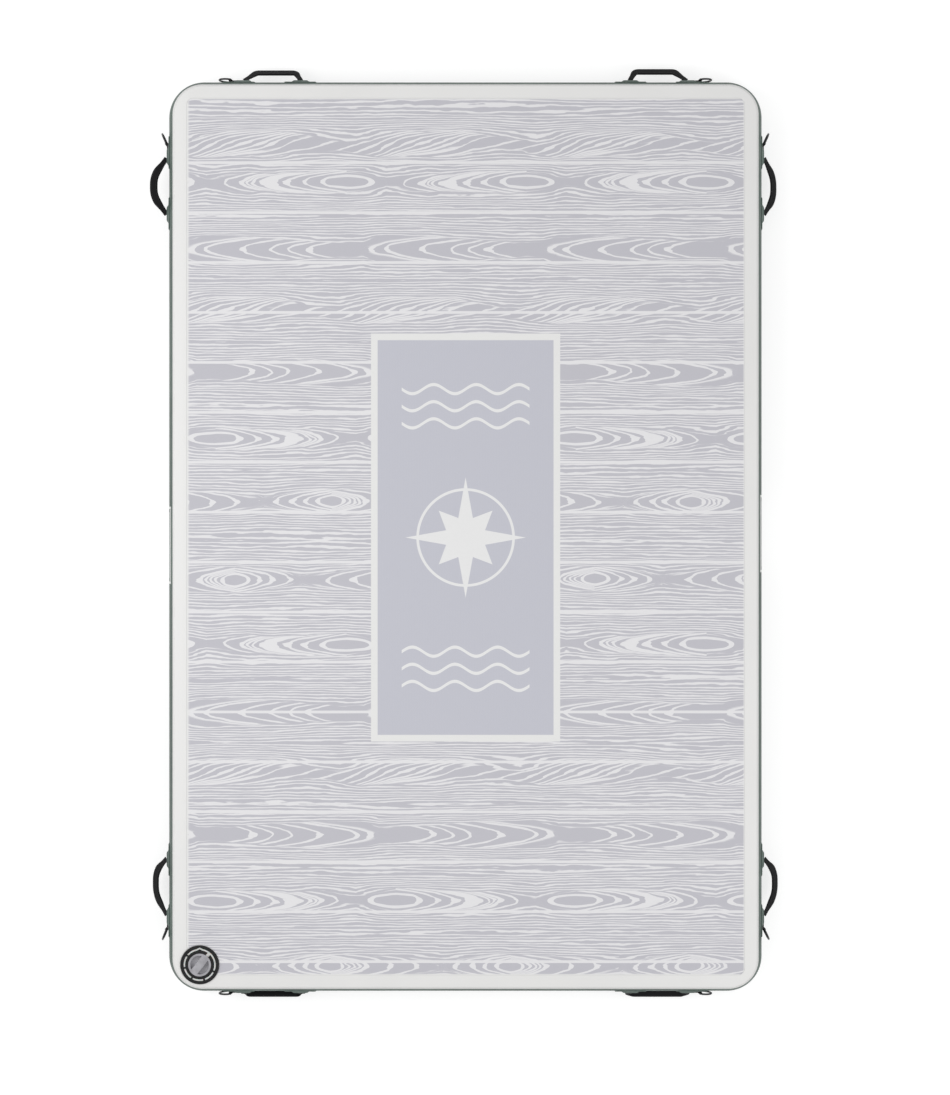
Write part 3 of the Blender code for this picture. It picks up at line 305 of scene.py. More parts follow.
# The print's slow noises: waves per metre across and along the dock, detail, roughness
PRINT_NOISES = {
    "drift": (4.0, 9.0, 2.0, 0.5), "tremble": (24.0, 60.0, 2.0, 0.5),
    "long_wave": (1.8, 22.0, 3.0, 0.55), "short_wave": (20.0, 90.0, 2.0, 0.5),
    "fat": (11.0, 70.0, 3.0, 0.6), "ragged": (9.0, 200.0, 2.0, 0.5),
}
# What they move: the rows and the rings along them (metres), the lines outside the figures
# (in lines), the figures' edges, the lines' width and the joints' edges
DRIFT = 0.016
TREMBLE = 0.012
LONG_WAVE = 2.0
SHORT_WAVE = 0.35
EDGE_WAVE = 0.007
FATNESS = (0.1, 0.9)
RAGGED = 0.0012
# How soft a figure's edge and a line's edge are, and the most of a pitch that is white to
# either side of a line's middle
FIGURE_EDGE = 0.0022
INK_EDGE = 0.0006
MOST_WHITE = 0.4

# Print: the joints, the panel in its white frame, the bare edges of the sheet
FIRST_JOINT = 0.9828
NO_JOINT_FROM = 1.03
PANEL_DROP = 0.0024
PANEL_HALF = (0.2486, 0.5361)
PANEL_EDGE = 0.0010
PANEL_FRAME = 0.0175
# RIB_PITCH sets the stripes of painted shade between the panel's ribs
RIB_PITCH = 0.0072
STUD_PITCH = 0.0024
BARE_EDGE = (-0.0045, -0.0004)
BARE_LEFT = (0.0090, 0.0010)
PRINT_WHITE = (0.80, 0.80, 0.79)
# The emblem: the star's points as (turn, tip, waist), its ring and the waves beyond it
EMBLEM_WHITE = (0.80, 0.80, 0.80)
STAR_POINTS = ((math.pi / 4, 0.100, 0.044), (0.0, 0.158, 0.034))
STAR_RING = 0.126
STAR_RING_HALF = 0.0035
WAVE_LENGTH = 0.112
WAVE_HEIGHT = 0.012
WAVE_PITCH = 0.045
WAVE_HALF_WIDTH = 0.0042
WAVES_START = 0.345
WAVES_REACH = 0.060
WAVES_HALF_LENGTH = 0.168

# Wall: the blank labels, with their middles on the left and on the right side
LABEL_MIDDLES = (-0.0228, 0.0080)
LABEL_HALF = (0.0990, 0.0460)
LABEL_LINE_HALF = 0.0030
LABEL_MARGIN = 0.0122
LABEL_SOFTNESS = 0.0004
LABEL_GREY = (0.50, 0.53, 0.52)
LABEL_WHITE = (0.78, 0.80, 0.78)
# Border and cloths: where painted light brightens the border's left side, and the weaves' pitches
PAINTED_LIGHT_FROM = (-0.715, -0.750)
HERRINGBONE = 0.0032
CORD_PITCH = 0.0016
CLOTH_PITCH = 0.0020

# Stage: the photograph's height and how far the dock's middle lies off the frame's, in its
# pixels, then the floor, and the lamps as (name, place, diameter, power)
IMAGE_HEIGHT = 1095
FRAME_SHIFT = (9.4, -10.9)
FLOOR_GREY = (0.55, 0.55, 0.55)
FLOOR_GLOW = 0.62
FLOOR_HALF = 30.0
FLOOR_DROP = 0.0005
LAMPS = (
    ("key", (-2.6, 0.4, 3.4), 2.6, 49.0),
    ("fill", (2.4, -1.3, 3.8), 3.0, 37.0),
)


class DockPrint(bpy.types.PropertyGroup):
    """The print on the deck sheet."""

    line_pitch: FloatProperty(
        name="Line pitch", description="Distance between the grain's lines",
        default=0.0104, min=0.002, unit="LENGTH",
    )
    ring_pitch: FloatProperty(
        name="Ring pitch", description="Distance between the rings inside a figure",
        default=0.0112, min=0.002, unit="LENGTH",
    )
    line_width: FloatProperty(
        name="Line width", description="Width of the white lines away from the figures' tips",
        default=0.0042, min=0.0005, unit="LENGTH",
    )
    plank_pitch: FloatProperty(
        name="Plank pitch", description="Distance between the joints of the planks",
        default=0.13124, min=0.02, unit="LENGTH",
    )
    joint_width: FloatProperty(
        name="Joint width", description="Width of the white joint between two planks",
        default=0.0072, min=0.001, unit="LENGTH",
    )
    grey: FloatVectorProperty(
        name="Grain", description="Colour between the lines",
        default=(0.530, 0.525, 0.570), subtype="COLOR", min=0.0, max=1.0,
    )
    white: FloatVectorProperty(
        name="Lines", description="Colour of the lines and joints",
        default=(0.79, 0.785, 0.80), subtype="COLOR", min=0.0, max=1.0,
    )
    panel: FloatVectorProperty(
        name="Panel", description="Colour of the central panel",
        default=(0.550, 0.555, 0.618), subtype="COLOR", min=0.0, max=1.0,
    )


class DockShell(bpy.types.PropertyGroup):
    """The coated sheet of the chamber."""

    corner_steps: IntProperty(
        name="Corner steps", description="Facets round each of the dock's corners",
        default=24, min=4, max=96,
    )
    bulge_steps: IntProperty(
        name="Bulge steps", description="Facets over the wall's bulge",
        default=28, min=6, max=96,
    )
    white: FloatVectorProperty(
        name="Border", description="Colour of the smooth white sheet",
        default=(0.790, 0.787, 0.777), subtype="COLOR", min=0.0, max=1.0,
    )
    green: FloatVectorProperty(
        name="Wall", description="Colour of the side wall",
        default=(0.074, 0.110, 0.093), subtype="COLOR", min=0.0, max=1.0,
    )
    label: BoolProperty(
        name="Label blocks", description="Print the two blank blocks on the side walls",
        default=True,
    )


class DockWebbing(bpy.types.PropertyGroup):
    """Handles, rings and their loops."""

    bar_width: FloatProperty(
        name="Bar width", description="Width of the folded strap at the grip",
        default=0.0205, min=0.005, unit="LENGTH",
    )
    foot_width: FloatProperty(
        name="Foot width", description="Width of the strap where it leaves its patches",
        default=0.0135, min=0.004, unit="LENGTH",
    )
    thread_pitch: FloatProperty(
        name="Weave pitch", description="Distance between the webbing's threads",
        default=0.0013, min=0.0004, unit="LENGTH",
    )
    stitch_pitch: FloatProperty(
        name="Stitch pitch", description="Distance between two stitches",
        default=0.0042, min=0.001, unit="LENGTH",
    )
    stitch_length: FloatProperty(
        name="Stitch length", description="Length of one stitch",
        default=0.0029, min=0.0005, unit="LENGTH",
    )
    black: FloatVectorProperty(
        name="Webbing", description="Colour of the webbing",
        default=(0.0065, 0.0065, 0.0075), subtype="COLOR", min=0.0, max=1.0,
    )


class DockValve(bpy.types.PropertyGroup):
    """The inflation valve."""

    turn_steps: IntProperty(
        name="Turn steps", description="Facets round the valve's turned pieces",
        default=96, min=24, max=256,
    )
    grip_width: FloatProperty(
        name="Grip bar", description="Width of the bar across the cap",
        default=0.0195, min=0.004, unit="LENGTH",
    )
    cap: FloatVectorProperty(
        name="Cap", description="Colour of the screw cap",
        default=(0.36, 0.355, 0.38), subtype="COLOR", min=0.0, max=1.0,
    )


class DockStage(bpy.types.PropertyGroup):
    """Floor, light and camera."""

    camera_height: FloatProperty(
        name="Camera height", description="Height of the camera over the deck",
        default=6.0, min=1.0, unit="LENGTH",
    )
    camera_left: FloatProperty(
        name="Camera left", description="How far left of the centre the camera stands",
        default=0.05, unit="LENGTH",
    )
    pixel: FloatProperty(
        name="Pixel", description="Length on the deck that one pixel of the picture shows",
        default=0.002628, min=0.0005, precision=6, unit="LENGTH",
    )
    world: FloatProperty(
        name="Sky", description="Strength of the even light from all round",
        default=0.66, min=0.0,
    )


# Materials

def reckoned(operation, turned=False):
    """A method of Term: one Math node, with its two operands turned round where asked."""
    def method(self, *others):
        operands = (*others, self) if turned else (self, *others)
        return self.recipe.sums(operation, *operands)
    return method


class Term:
    """A number in a material's tree, which plain arithmetic takes further."""

    def __init__(self, recipe, socket):
        self.recipe = recipe
        self.socket = socket

    __add__ = reckoned("ADD")
    __sub__ = reckoned("SUBTRACT")
    __rsub__ = reckoned("SUBTRACT", turned=True)
    __mul__ = reckoned("MULTIPLY")
    __rmul__ = reckoned("MULTIPLY", turned=True)
    __truediv__ = reckoned("DIVIDE")
    __rtruediv__ = reckoned("DIVIDE", turned=True)
    __pow__ = reckoned("POWER")
    __abs__ = reckoned("ABSOLUTE")
    __gt__ = reckoned("GREATER_THAN")
    __lt__ = reckoned("LESS_THAN")


class Recipe:
    """A material's node tree, with short calls for what the finishes share."""

    def __init__(self, name, colour=(0.5, 0.5, 0.5), roughness=0.5, metallic=0.0):
        self.material = bpy.data.materials.new(name)
        self.material.use_nodes = True
        self.tree = self.material.node_tree
        self.shader = self.tree.nodes["Principled BSDF"]
        self.shader.inputs["Base Color"].default_value = (*colour, 1.0)
        self.shader.inputs["Roughness"].default_value = roughness
        self.shader.inputs["Metallic"].default_value = metallic

    def node(self, kind, **settings):
        """A node with its settings."""
        made = self.tree.nodes.new(kind)
        for key, value in settings.items():
            setattr(made, key, value)
        return made

    def feed(self, socket, value):
        """Link a socket's source, or set its plain value."""
        if isinstance(value, Term):
            value = value.socket
        if isinstance(value, bpy.types.NodeSocket):
            self.tree.links.new(value, socket)
        else:
            socket.default_value = value

    def set(self, **settings):
        """Set plain values of the shader, their names with _ for spaces."""
        for label, value in settings.items():
            self.shader.inputs[label.replace("_", " ")].default_value = value

    def place(self):
        """The point on the finished piece, in the dock's frame."""
        return self.node("ShaderNodeTexCoord").outputs["Object"]

    def surface_map(self, name):
        """A named map of the piece."""
        return self.node("ShaderNodeUVMap", uv_map=name).outputs["UV"]

    def split(self, vector):
        """A vector's three numbers."""
        made = self.node("ShaderNodeSeparateXYZ")
        self.feed(made.inputs[0], vector)
        return [Term(self, socket) for socket in made.outputs]

    def gather(self, x, y, z):
        """A vector from three numbers."""
        made = self.node("ShaderNodeCombineXYZ")
        for socket, value in zip(made.inputs, (x, y, z)):
            self.feed(socket, value)
        return made.outputs[0]

    def sums(self, operation, *values):
        """A Math node, for what plain arithmetic doesn't write."""
        made = self.node("ShaderNodeMath", operation=operation)
        for socket, value in zip(made.inputs, values):
            self.feed(socket, value)
        return Term(self, made.outputs[0])

    def smaller(self, first, second):
        """The smaller of two numbers."""
        return self.sums("MINIMUM", first, second)

    def larger(self, first, second):
        """The larger of two numbers."""
        return self.sums("MAXIMUM", first, second)

    def root(self, value):
        """The square root."""
        return self.sums("SQRT", value)

    def waves(self, value, length):
        """Sine waves from -1 to 1, each so long."""
        return self.sums("SINE", value * (math.tau / length))

    def stretched(self, vector, scale):
        """A place scaled unevenly, for grain that runs one way."""
        made = self.node("ShaderNodeMapping")
        self.feed(made.inputs["Vector"], vector)
        made.inputs["Scale"].default_value = scale
        return made.outputs[0]

    def noise(self, vector, scale, detail=2.0, roughness=0.5):
        """Fractal noise from 0 to 1."""
        made = self.node("ShaderNodeTexNoise")
        self.feed(made.inputs["Vector"], vector)
        made.inputs["Scale"].default_value = scale
        made.inputs["Detail"].default_value = detail
        made.inputs["Roughness"].default_value = roughness
        return Term(self, made.outputs["Fac"])

    def step(self, value, low, high):
        """A smooth step from 0 at low to 1 at high; low may be the greater."""
        made = self.node("ShaderNodeMapRange", interpolation_type="SMOOTHSTEP")
        self.feed(made.inputs["Value"], value)
        self.feed(made.inputs["From Min"], low)
        self.feed(made.inputs["From Max"], high)
        return Term(self, made.outputs["Result"])

    def spread(self, value, low, high):
        """A value from 0 to 1 taken to a range."""
        made = self.node("ShaderNodeMapRange")
        self.feed(made.inputs["Value"], value)
        self.feed(made.inputs["To Min"], low)
        self.feed(made.inputs["To Max"], high)
        return Term(self, made.outputs["Result"])

    def mix(self, share, first, second):
        """Two colours mixed."""
        made = self.node("ShaderNodeMix", data_type="RGBA")
        self.feed(made.inputs["Factor"], share)
        for socket, value in zip(made.inputs[6:8], (first, second)):
            if not isinstance(value, bpy.types.NodeSocket):
                value = (*value, 1.0)
            self.feed(socket, value)
        return made.outputs[2]

    def choose(self, share, first, second):
        """Two numbers mixed."""
        made = self.node("ShaderNodeMix", data_type="FLOAT")
        self.feed(made.inputs[0], share)
        self.feed(made.inputs[2], first)
        self.feed(made.inputs[3], second)
        return Term(self, made.outputs[0])

    def curves(self, value, *tables):
        """Up to three tables of (place, value) points, both from 0 to 1, read at a value."""
        made = self.node("ShaderNodeRGBCurve")
        self.feed(made.inputs["Color"], self.gather(value, value, value))
        for curve, table in zip(made.mapping.curves, tables):
            curve.points[0].location = table[0]
            curve.points[1].location = table[-1]
            for place in table[1:-1]:
                curve.points.new(*place)
            for point in curve.points:
                point.handle_type = "VECTOR"
        made.mapping.update()
        return made.outputs["Color"]

    def bump(self, height, distance, strength=1.0):
        """Raise the surface; a second call adds to the first."""
        made = self.node("ShaderNodeBump")
        self.feed(made.inputs["Height"], height)
        made.inputs["Distance"].default_value = distance
        made.inputs["Strength"].default_value = strength
        normal = self.shader.inputs["Normal"]
        if normal.is_linked:
            self.feed(made.inputs["Normal"], normal.links[0].from_socket)
        self.feed(normal, made.outputs[0])

    def colour(self, value):
        """Feed the shader's colour."""
        self.feed(self.shader.inputs["Base Color"], value)

    def rough(self, value):
        """Feed the shader's roughness."""
        self.feed(self.shader.inputs["Roughness"], value)

    def frame_distance(self, across, along, half_across, half_along):
        """How far outside a rectangle's edge a place lies; inside is below zero."""
        return self.larger(abs(across) - half_across, abs(along) - half_along)


def white_sheet():
    """Smooth coated PVC: a soft satin with slight waves, with painted light along its left side.
    """
    white = bpy.context.scene.dock_shell.white
    recipe = Recipe("white_sheet", white, 0.42)
    place = recipe.place()
    cloud = recipe.noise(place, 5.0, 3.0, 0.6)
    marks = recipe.noise(place, 60.0, 4.0, 0.6)
    # painted light: a slightly brighter white for the outer strip of the border's left side
    painted_light_white = [part * 1.025 for part in white]
    dull = [part * 0.975 for part in white]
    x, _, _ = recipe.split(place)
    coat = recipe.mix(recipe.step(cloud, 0.35, 0.75), white, dull)
    # painted light: the outer strip of the left side is made a little brighter, as the key lamp
    # from the left brightens it
    recipe.colour(recipe.mix(recipe.step(x, *PAINTED_LIGHT_FROM), coat, painted_light_white))
    recipe.rough(recipe.spread(marks, 0.34, 0.52))
    recipe.bump(recipe.noise(place, 9.0, 2.0), 0.0010, 0.35)
    recipe.bump(recipe.noise(place, 900.0, 2.0), 0.00003, 0.5)
    return recipe.material


def green_sheet(name, labelled):
    """The grey-green side wall, with a blank block in a white line on each long side."""
    shell = bpy.context.scene.dock_shell
    recipe = Recipe(name, shell.green, 0.5)
    place = recipe.place()
    x, y, z = recipe.split(place)
    cloud = recipe.noise(place, 7.0, 3.0, 0.55)
    light = [part * 1.16 for part in shell.green]
    dark = [part * 0.88 for part in shell.green]
    coat = recipe.mix(recipe.step(cloud, 0.3, 0.7), dark, light)
    if labelled:
        along = y - recipe.choose(x > 0.0, *LABEL_MIDDLES)
        out = recipe.frame_distance(along, z - MID_HEIGHT, *LABEL_HALF)
        side = abs(x) > HALF_X
        line = recipe.step(
            abs(out), LABEL_LINE_HALF + LABEL_SOFTNESS, LABEL_LINE_HALF - LABEL_SOFTNESS)
        block = recipe.step(out, LABEL_SOFTNESS - LABEL_MARGIN, -LABEL_SOFTNESS - LABEL_MARGIN)
        coat = recipe.mix(block * side, coat, LABEL_GREY)
        coat = recipe.mix(line * side, coat, LABEL_WHITE)
    recipe.colour(coat)
    recipe.set(Specular_IOR_Level=0.28)
    recipe.rough(recipe.spread(recipe.noise(place, 45.0, 4.0, 0.6), 0.40, 0.60))
    recipe.bump(recipe.noise(place, 12.0, 2.0), 0.0008, 0.3)
    threads = recipe.node("ShaderNodeTexVoronoi", feature="F1")
    recipe.feed(threads.inputs["Vector"], place)
    threads.inputs["Scale"].default_value = 700.0
    recipe.bump(threads.outputs["Distance"], 0.00005, 0.4)
    return recipe.material


def compass(recipe, across, along):
    """A plain compass star in a ring, with three wave lines beyond each end."""
    reach = recipe.root(across * across + along * along)
    heading = recipe.sums("ARCTAN2", along, across)
    points = []
    for turn, tip, waist in STAR_POINTS:
        fold = recipe.sums("PINGPONG", heading + (turn + math.tau), math.pi / 4)
        inward = reach * recipe.sums("COSINE", fold) - tip
        sideways = reach * recipe.sums("SINE", fold)
        waist_side = waist * math.sin(math.pi / 4)
        waist_drop = tip - waist * math.cos(math.pi / 4)
        length = math.hypot(waist_drop, waist_side)
        points.append(inward * (waist_side / length) + sideways * (waist_drop / length))
    ring = abs(reach - STAR_RING) - STAR_RING_HALF
    marks = recipe.smaller(recipe.smaller(*points), ring)
    wave = recipe.waves(across, WAVE_LENGTH) * WAVE_HEIGHT
    fan = abs(along) - WAVES_START - wave
    half_pitch = WAVE_PITCH / 2
    near = abs(recipe.sums("PINGPONG", fan + half_pitch, half_pitch) - half_pitch)
    lines = recipe.larger(near - WAVE_HALF_WIDTH, abs(fan) - WAVES_REACH)
    lines = recipe.larger(lines, abs(across) - WAVES_HALF_LENGTH)
    return recipe.step(recipe.smaller(marks, lines), INK_EDGE, -INK_EDGE)


def figure_tables(kind):
    """A kind's figure as tables from 0 to 1: what follows its rings, and what doesn't."""
    places, rings, width, reach = zip(*FIGURES[kind])
    slopes = []
    for place in places:
        before, after = (
            np.interp((place + side) % places[-1], places, rings)
            for side in (-SLOPE_SPAN, SLOPE_SPAN))
        slopes.append(min(abs(after - before) / (2 * SLOPE_SPAN * MILLIMETRE), SLOPE_SCALE))
    stray_places, strays = zip(*STRAYS.get(kind, ((0, 0), (places[-1], 0))))
    stray = np.interp(places, stray_places, strays)

    def table(values, scale, middle=0.0):
        return [(place / places[-1], middle + value / scale)
                for place, value in zip(places, values)]

    ring_table = table(rings, RINGS_SCALE)
    return (
        (ring_table, table(width, WIDTH_SCALE / MILLIMETRE), table(slopes, SLOPE_SCALE)),
        (ring_table, table(reach, REACH_SCALE / MILLIMETRE),
         table(stray, STRAY_SCALE / MILLIMETRE, 0.5)),
    )


def figure_reading(recipe, along, kind, group):
    """One group of every kind's tables read along the row, and the row's own kind picked."""
    share = recipe.sums("FRACT", along / REPEAT)
    picked = None
    for index, name in enumerate(FIGURES):
        read = recipe.curves(share, *figure_tables(name)[group])
        if picked is None:
            picked = read
        else:
            own = recipe.sums("COMPARE", kind, float(index), 0.5)
            picked = recipe.mix(own, picked, read)
    return recipe.split(picked)


def figure_level(recipe, place, along, side, off, shape):
    """The rings inside the figures: a ring count, how fast it grows, and the lines' width."""
    look = bpy.context.scene.dock_print
    kind, bow, lean, seam, even = shape
    # Rings that stay open: drawn back and leaning to either side, facing away at the seam
    turned_back = recipe.sums("FRACT", along / REPEAT) > seam
    bow = bow * (1.0 - turned_back * 2.0)
    square = side * side
    curled = square / CURL ** 2
    shift = square * bow + side * (lean * (curled + 1.0))
    shift = shift + recipe.spread(print_noise(recipe, place, "tremble"), -TREMBLE, TREMBLE)
    rings, tip_width, run = figure_reading(recipe, along + shift, kind, 0)
    rings = rings * RINGS_SCALE
    tip_width = tip_width * WIDTH_SCALE
    run = recipe.larger(run * SLOPE_SCALE, LEAST_SLOPE)
    slant = lean * recipe.sums("MULTIPLY_ADD", curled, 3.0, 1.0)
    tilt = side * 2.0 * bow + slant
    open_steep = run * recipe.root(tilt * tilt + 1.0)

    # Middle rings that close to ovals
    soft = recipe.root(off * off + TIP_BLUNTNESS ** 2)
    rise = (soft - TIP_BLUNTNESS) / look.ring_pitch
    oval = rise ** OVAL_POWER + even ** OVAL_POWER
    oval = recipe.larger(oval ** (1 / OVAL_POWER), 0.01)
    side_slope = off / soft / look.ring_pitch
    across = rise / oval * (side_slope * side_slope)
    oval_steep = recipe.root(across + even / oval * (run * run))
    oval_steep = recipe.larger(oval_steep, LEAST_SLOPE)

    # One of the two, and its lines' width: the tips' own width, then thinner arms
    closed = (kind < CLOSED_KINDS - 0.5) * recipe.step(rings, 2.0, 1.0)
    inner = recipe.choose(closed, rings, oval)
    steep = recipe.choose(closed, open_steep, oval_steep)
    arm_width = recipe.smaller(tip_width * 3.0, look.line_width)
    width = recipe.choose(recipe.step(off, 0.001, 0.008), tip_width, arm_width)
    width = width * recipe.step(inner, 0.45, 0.60)
    width = width * recipe.sums("MULTIPLY_ADD", closed, 0.5, 1.0)
    return inner, steep, width


def print_noise(recipe, place, name):
    """One of the print's slow noises."""
    across, along, detail, roughness = PRINT_NOISES[name]
    return recipe.noise(recipe.stretched(place, (across, along, 1.0)), 1.0, detail, roughness)


def grain_lines(recipe, place):
    """Where the grain's white lines are.

    Inside a figure the lines are its growth rings. Outside they run along the figure's
    edge, and straighten towards the middle between two rows.
    """
    look = bpy.context.scene.dock_print
    along, off, _ = recipe.split(recipe.surface_map("figure"))
    kind, bow, _ = recipe.split(recipe.surface_map("kind"))
    lean, seam, _ = recipe.split(recipe.surface_map("lean"))
    even, reach, stray = figure_reading(recipe, along, kind, 1)
    even = even * RINGS_SCALE
    reach = reach * REACH_SCALE
    fading = recipe.step(abs(off), *STRAY_FADES)
    drift = (print_noise(recipe, place, "drift") - 0.5) * DRIFT
    stray = ((stray - 0.5) * STRAY_SCALE + drift) * fading
    side = off - stray
    off = abs(side)
    inner, steep, width = figure_level(
        recipe, place, along, side, off, (kind, bow, lean, seam, even))

    outer = (off - reach * fading) / look.line_pitch
    short_wave = print_noise(recipe, place, "short_wave")
    outer = outer + recipe.spread(
        print_noise(recipe, place, "long_wave"), -LONG_WAVE, LONG_WAVE)
    outer = outer + recipe.spread(short_wave, -SHORT_WAVE, SHORT_WAVE)
    edge = off - reach + recipe.spread(short_wave, -EDGE_WAVE, EDGE_WAVE)
    outside = recipe.step(edge, -FIGURE_EDGE, FIGURE_EDGE)

    fat = recipe.spread(print_noise(recipe, place, "fat"), *FATNESS)
    parts = []
    for level, wide, gradient in (
        (inner, width, steep),
        (outer, look.line_width, 1.0 / look.line_pitch),
    ):
        middle = recipe.sums("PINGPONG", level, 0.5) / gradient
        half = recipe.smaller(wide * fat, MOST_WHITE / gradient)
        parts.append(recipe.step(middle - half, INK_EDGE, -INK_EDGE))
    return recipe.choose(outside, *parts)


def deck_print():
    """Figured wood grain in white lines on grey, cut by plank joints, round a panel."""
    look = bpy.context.scene.dock_print
    recipe = Recipe("deck_print", look.grey, 0.62)
    place = recipe.place()
    x, y, _ = recipe.split(place)
    joint = recipe.sums(
        "PINGPONG", y + (40 * look.plank_pitch - FIRST_JOINT), look.plank_pitch / 2)
    joint = joint + print_noise(recipe, place, "ragged") * RAGGED
    half = look.joint_width / 2
    joint = recipe.step(joint, half + RAGGED, half) * (y < NO_JOINT_FROM)
    lines = recipe.larger(grain_lines(recipe, place), joint)
    grain = recipe.mix(lines, look.grey, look.white)

    panel_y = y + PANEL_DROP
    out = recipe.frame_distance(x, panel_y, *PANEL_HALF)
    inside = recipe.step(out, PANEL_EDGE, -PANEL_EDGE)
    ground = recipe.step(out, PANEL_EDGE - PANEL_FRAME, -PANEL_EDGE - PANEL_FRAME)
    # painted shade: the panel is darkened in stripes a rib pitch apart, the shade between its ribs
    ribs = recipe.spread(recipe.waves(x, RIB_PITCH) * 0.5, 0.5, 1.0)
    shade = [part * 0.93 for part in look.panel]
    panel = recipe.mix(ribs * 0.5, look.panel, shade)
    panel = recipe.mix(compass(recipe, x, panel_y), panel, EMBLEM_WHITE)
    framed = recipe.mix(ground, PRINT_WHITE, panel)
    face = recipe.mix(inside, grain, framed)
    bare = recipe.step(
        recipe.frame_distance(x, y, DECK_HIGH.x, DECK_HIGH.y), *BARE_EDGE)
    bare = recipe.larger(bare, recipe.step(x + DECK_HIGH.x, *BARE_LEFT))
    recipe.colour(recipe.mix(bare, face, PRINT_WHITE))
    recipe.rough(recipe.spread(recipe.noise(place, 40.0, 3.0), 0.52, 0.68))
    recipe.bump(recipe.waves(x, STUD_PITCH) * recipe.waves(y, STUD_PITCH), 0.00018, 0.6)
    recipe.bump(recipe.noise(place, 6.0, 2.0), 0.0015, 0.25)
    return recipe.material


def webbing(name="webbing"):
    """Black webbing: a flat herringbone weave on the strap's own map, faintly worn."""
    look = bpy.context.scene.dock_webbing
    recipe = Recipe(name, look.black, 0.72)
    along, across, _ = recipe.split(recipe.surface_map("strap"))
    skew = recipe.sums("PINGPONG", across, HERRINGBONE)
    ribs = recipe.waves(along + skew * 0.9, look.thread_pitch)
    cords = recipe.waves(across, CORD_PITCH)
    weave = ribs * 0.5 + cords * 0.22
    worn = recipe.noise(recipe.place(), 60.0, 4.0, 0.65)
    pale = [part * 2.2 + 0.004 for part in look.black]
    high = recipe.step(weave, 0.1, 0.7) * recipe.step(worn, 0.40, 0.75)
    recipe.colour(recipe.mix(high * 0.8, look.black, pale))
    recipe.rough(recipe.spread(worn, 0.62, 0.84))
    recipe.set(Specular_IOR_Level=0.22, Sheen_Weight=0.06, Sheen_Roughness=0.45)
    recipe.bump(weave, 0.00022, 0.8)
    return recipe.material


def thread():
    """The thread of the stitches."""
    recipe = Recipe("thread", (0.030, 0.030, 0.033), 0.55)
    twist = recipe.noise(recipe.place(), 2500.0, 1.0)
    recipe.bump(twist, 0.00008, 0.6)
    recipe.rough(recipe.spread(twist, 0.45, 0.65))
    return recipe.material


def coated_wire():
    """Black dipped steel: a satin coat, rubbed a little greyer in patches."""
    recipe = Recipe("coated_wire", (0.016, 0.016, 0.018), 0.34)
    place = recipe.place()
    worn = recipe.noise(place, 240.0, 4.0, 0.6)
    recipe.colour(recipe.mix(
        recipe.step(worn, 0.60, 0.78), (0.014, 0.014, 0.016), (0.055, 0.055, 0.06)))
    recipe.rough(recipe.spread(worn, 0.26, 0.48))
    recipe.set(Coat_Weight=0.25, Coat_Roughness=0.2)
    recipe.bump(recipe.noise(place, 900.0, 2.0), 0.00003, 0.5)
    return recipe.material


def moulded(name, colour, roughness=0.45, grain=0.00005, mottle=0.10, gloss=0.5):
    """Moulded nylon: a fine spark-eroded grain and slightly uneven colour."""
    recipe = Recipe(name, colour, roughness)
    recipe.set(Specular_IOR_Level=gloss)
    place = recipe.place()
    cloud = recipe.noise(place, 55.0, 3.0, 0.6)
    light = [min(1.0, part * (1 + mottle)) for part in colour]
    dark = [part * (1 - mottle) for part in colour]
    recipe.colour(recipe.mix(recipe.step(cloud, 0.3, 0.7), dark, light))
    recipe.rough(recipe.spread(
        recipe.noise(place, 160.0, 3.0), roughness - 0.10, roughness + 0.12))
    recipe.bump(recipe.noise(place, 1400.0, 2.0), grain, 0.7)
    return recipe.material


def leash_rubber():
    """The pale flexible moulding of the leash."""
    recipe = Recipe("leash_rubber", (0.62, 0.63, 0.61), 0.48)
    place = recipe.place()
    tone = recipe.noise(place, 90.0, 3.0, 0.6)
    recipe.colour(recipe.mix(
        recipe.step(tone, 0.35, 0.7), (0.56, 0.57, 0.55), (0.68, 0.69, 0.67)))
    recipe.rough(recipe.spread(tone, 0.42, 0.58))
    recipe.set(Subsurface_Weight=0.08, Subsurface_Scale=0.002)
    recipe.bump(recipe.noise(place, 700.0, 2.0), 0.00004, 0.5)
    return recipe.material


def woven_cloth():
    """The drop-stitch cloth inside the chamber."""
    recipe = Recipe("woven_cloth", (0.72, 0.72, 0.69), 0.85)
    place = recipe.place()
    x, y, _ = recipe.split(place)
    recipe.bump(recipe.waves(x, CLOTH_PITCH) * recipe.waves(y, CLOTH_PITCH), 0.0002, 0.6)
    tone = recipe.noise(place, 30.0, 3.0)
    recipe.colour(recipe.mix(tone, (0.64, 0.64, 0.61), (0.78, 0.78, 0.76)))
    return recipe.material


def spring_wire():
    """Bright drawn wire."""
    recipe = Recipe("spring_wire", (0.62, 0.62, 0.62), 0.28, 1.0)
    drawn = recipe.noise(recipe.place(), 1500.0, 2.0)
    recipe.rough(recipe.spread(drawn, 0.20, 0.40))
    recipe.bump(drawn, 0.00002, 0.5)
    return recipe.material


# Meshes

def plain_mesh(name, shell):
    """A mesh from an edit mesh, as it is."""
    mesh = bpy.data.meshes.new(name)
    shell.to_mesh(mesh)
    shell.free()
    return mesh


def as_mesh(name, shell):
    """A finished mesh from an edit mesh, its faces turned outward."""
    bmesh.ops.remove_doubles(shell, verts=shell.verts, dist=MERGE)
    bmesh.ops.recalc_face_normals(shell, faces=shell.faces)
    return plain_mesh(name, shell)


def cleaned(mesh):
    """A finished mesh from a raw one."""
    shell = bmesh.new()
    shell.from_mesh(mesh)
    return as_mesh(mesh.name, shell)


def linked(name, data):
    """A new object in the scene."""
    thing = bpy.data.objects.new(name, data)
    bpy.context.scene.collection.objects.link(thing)
    return thing


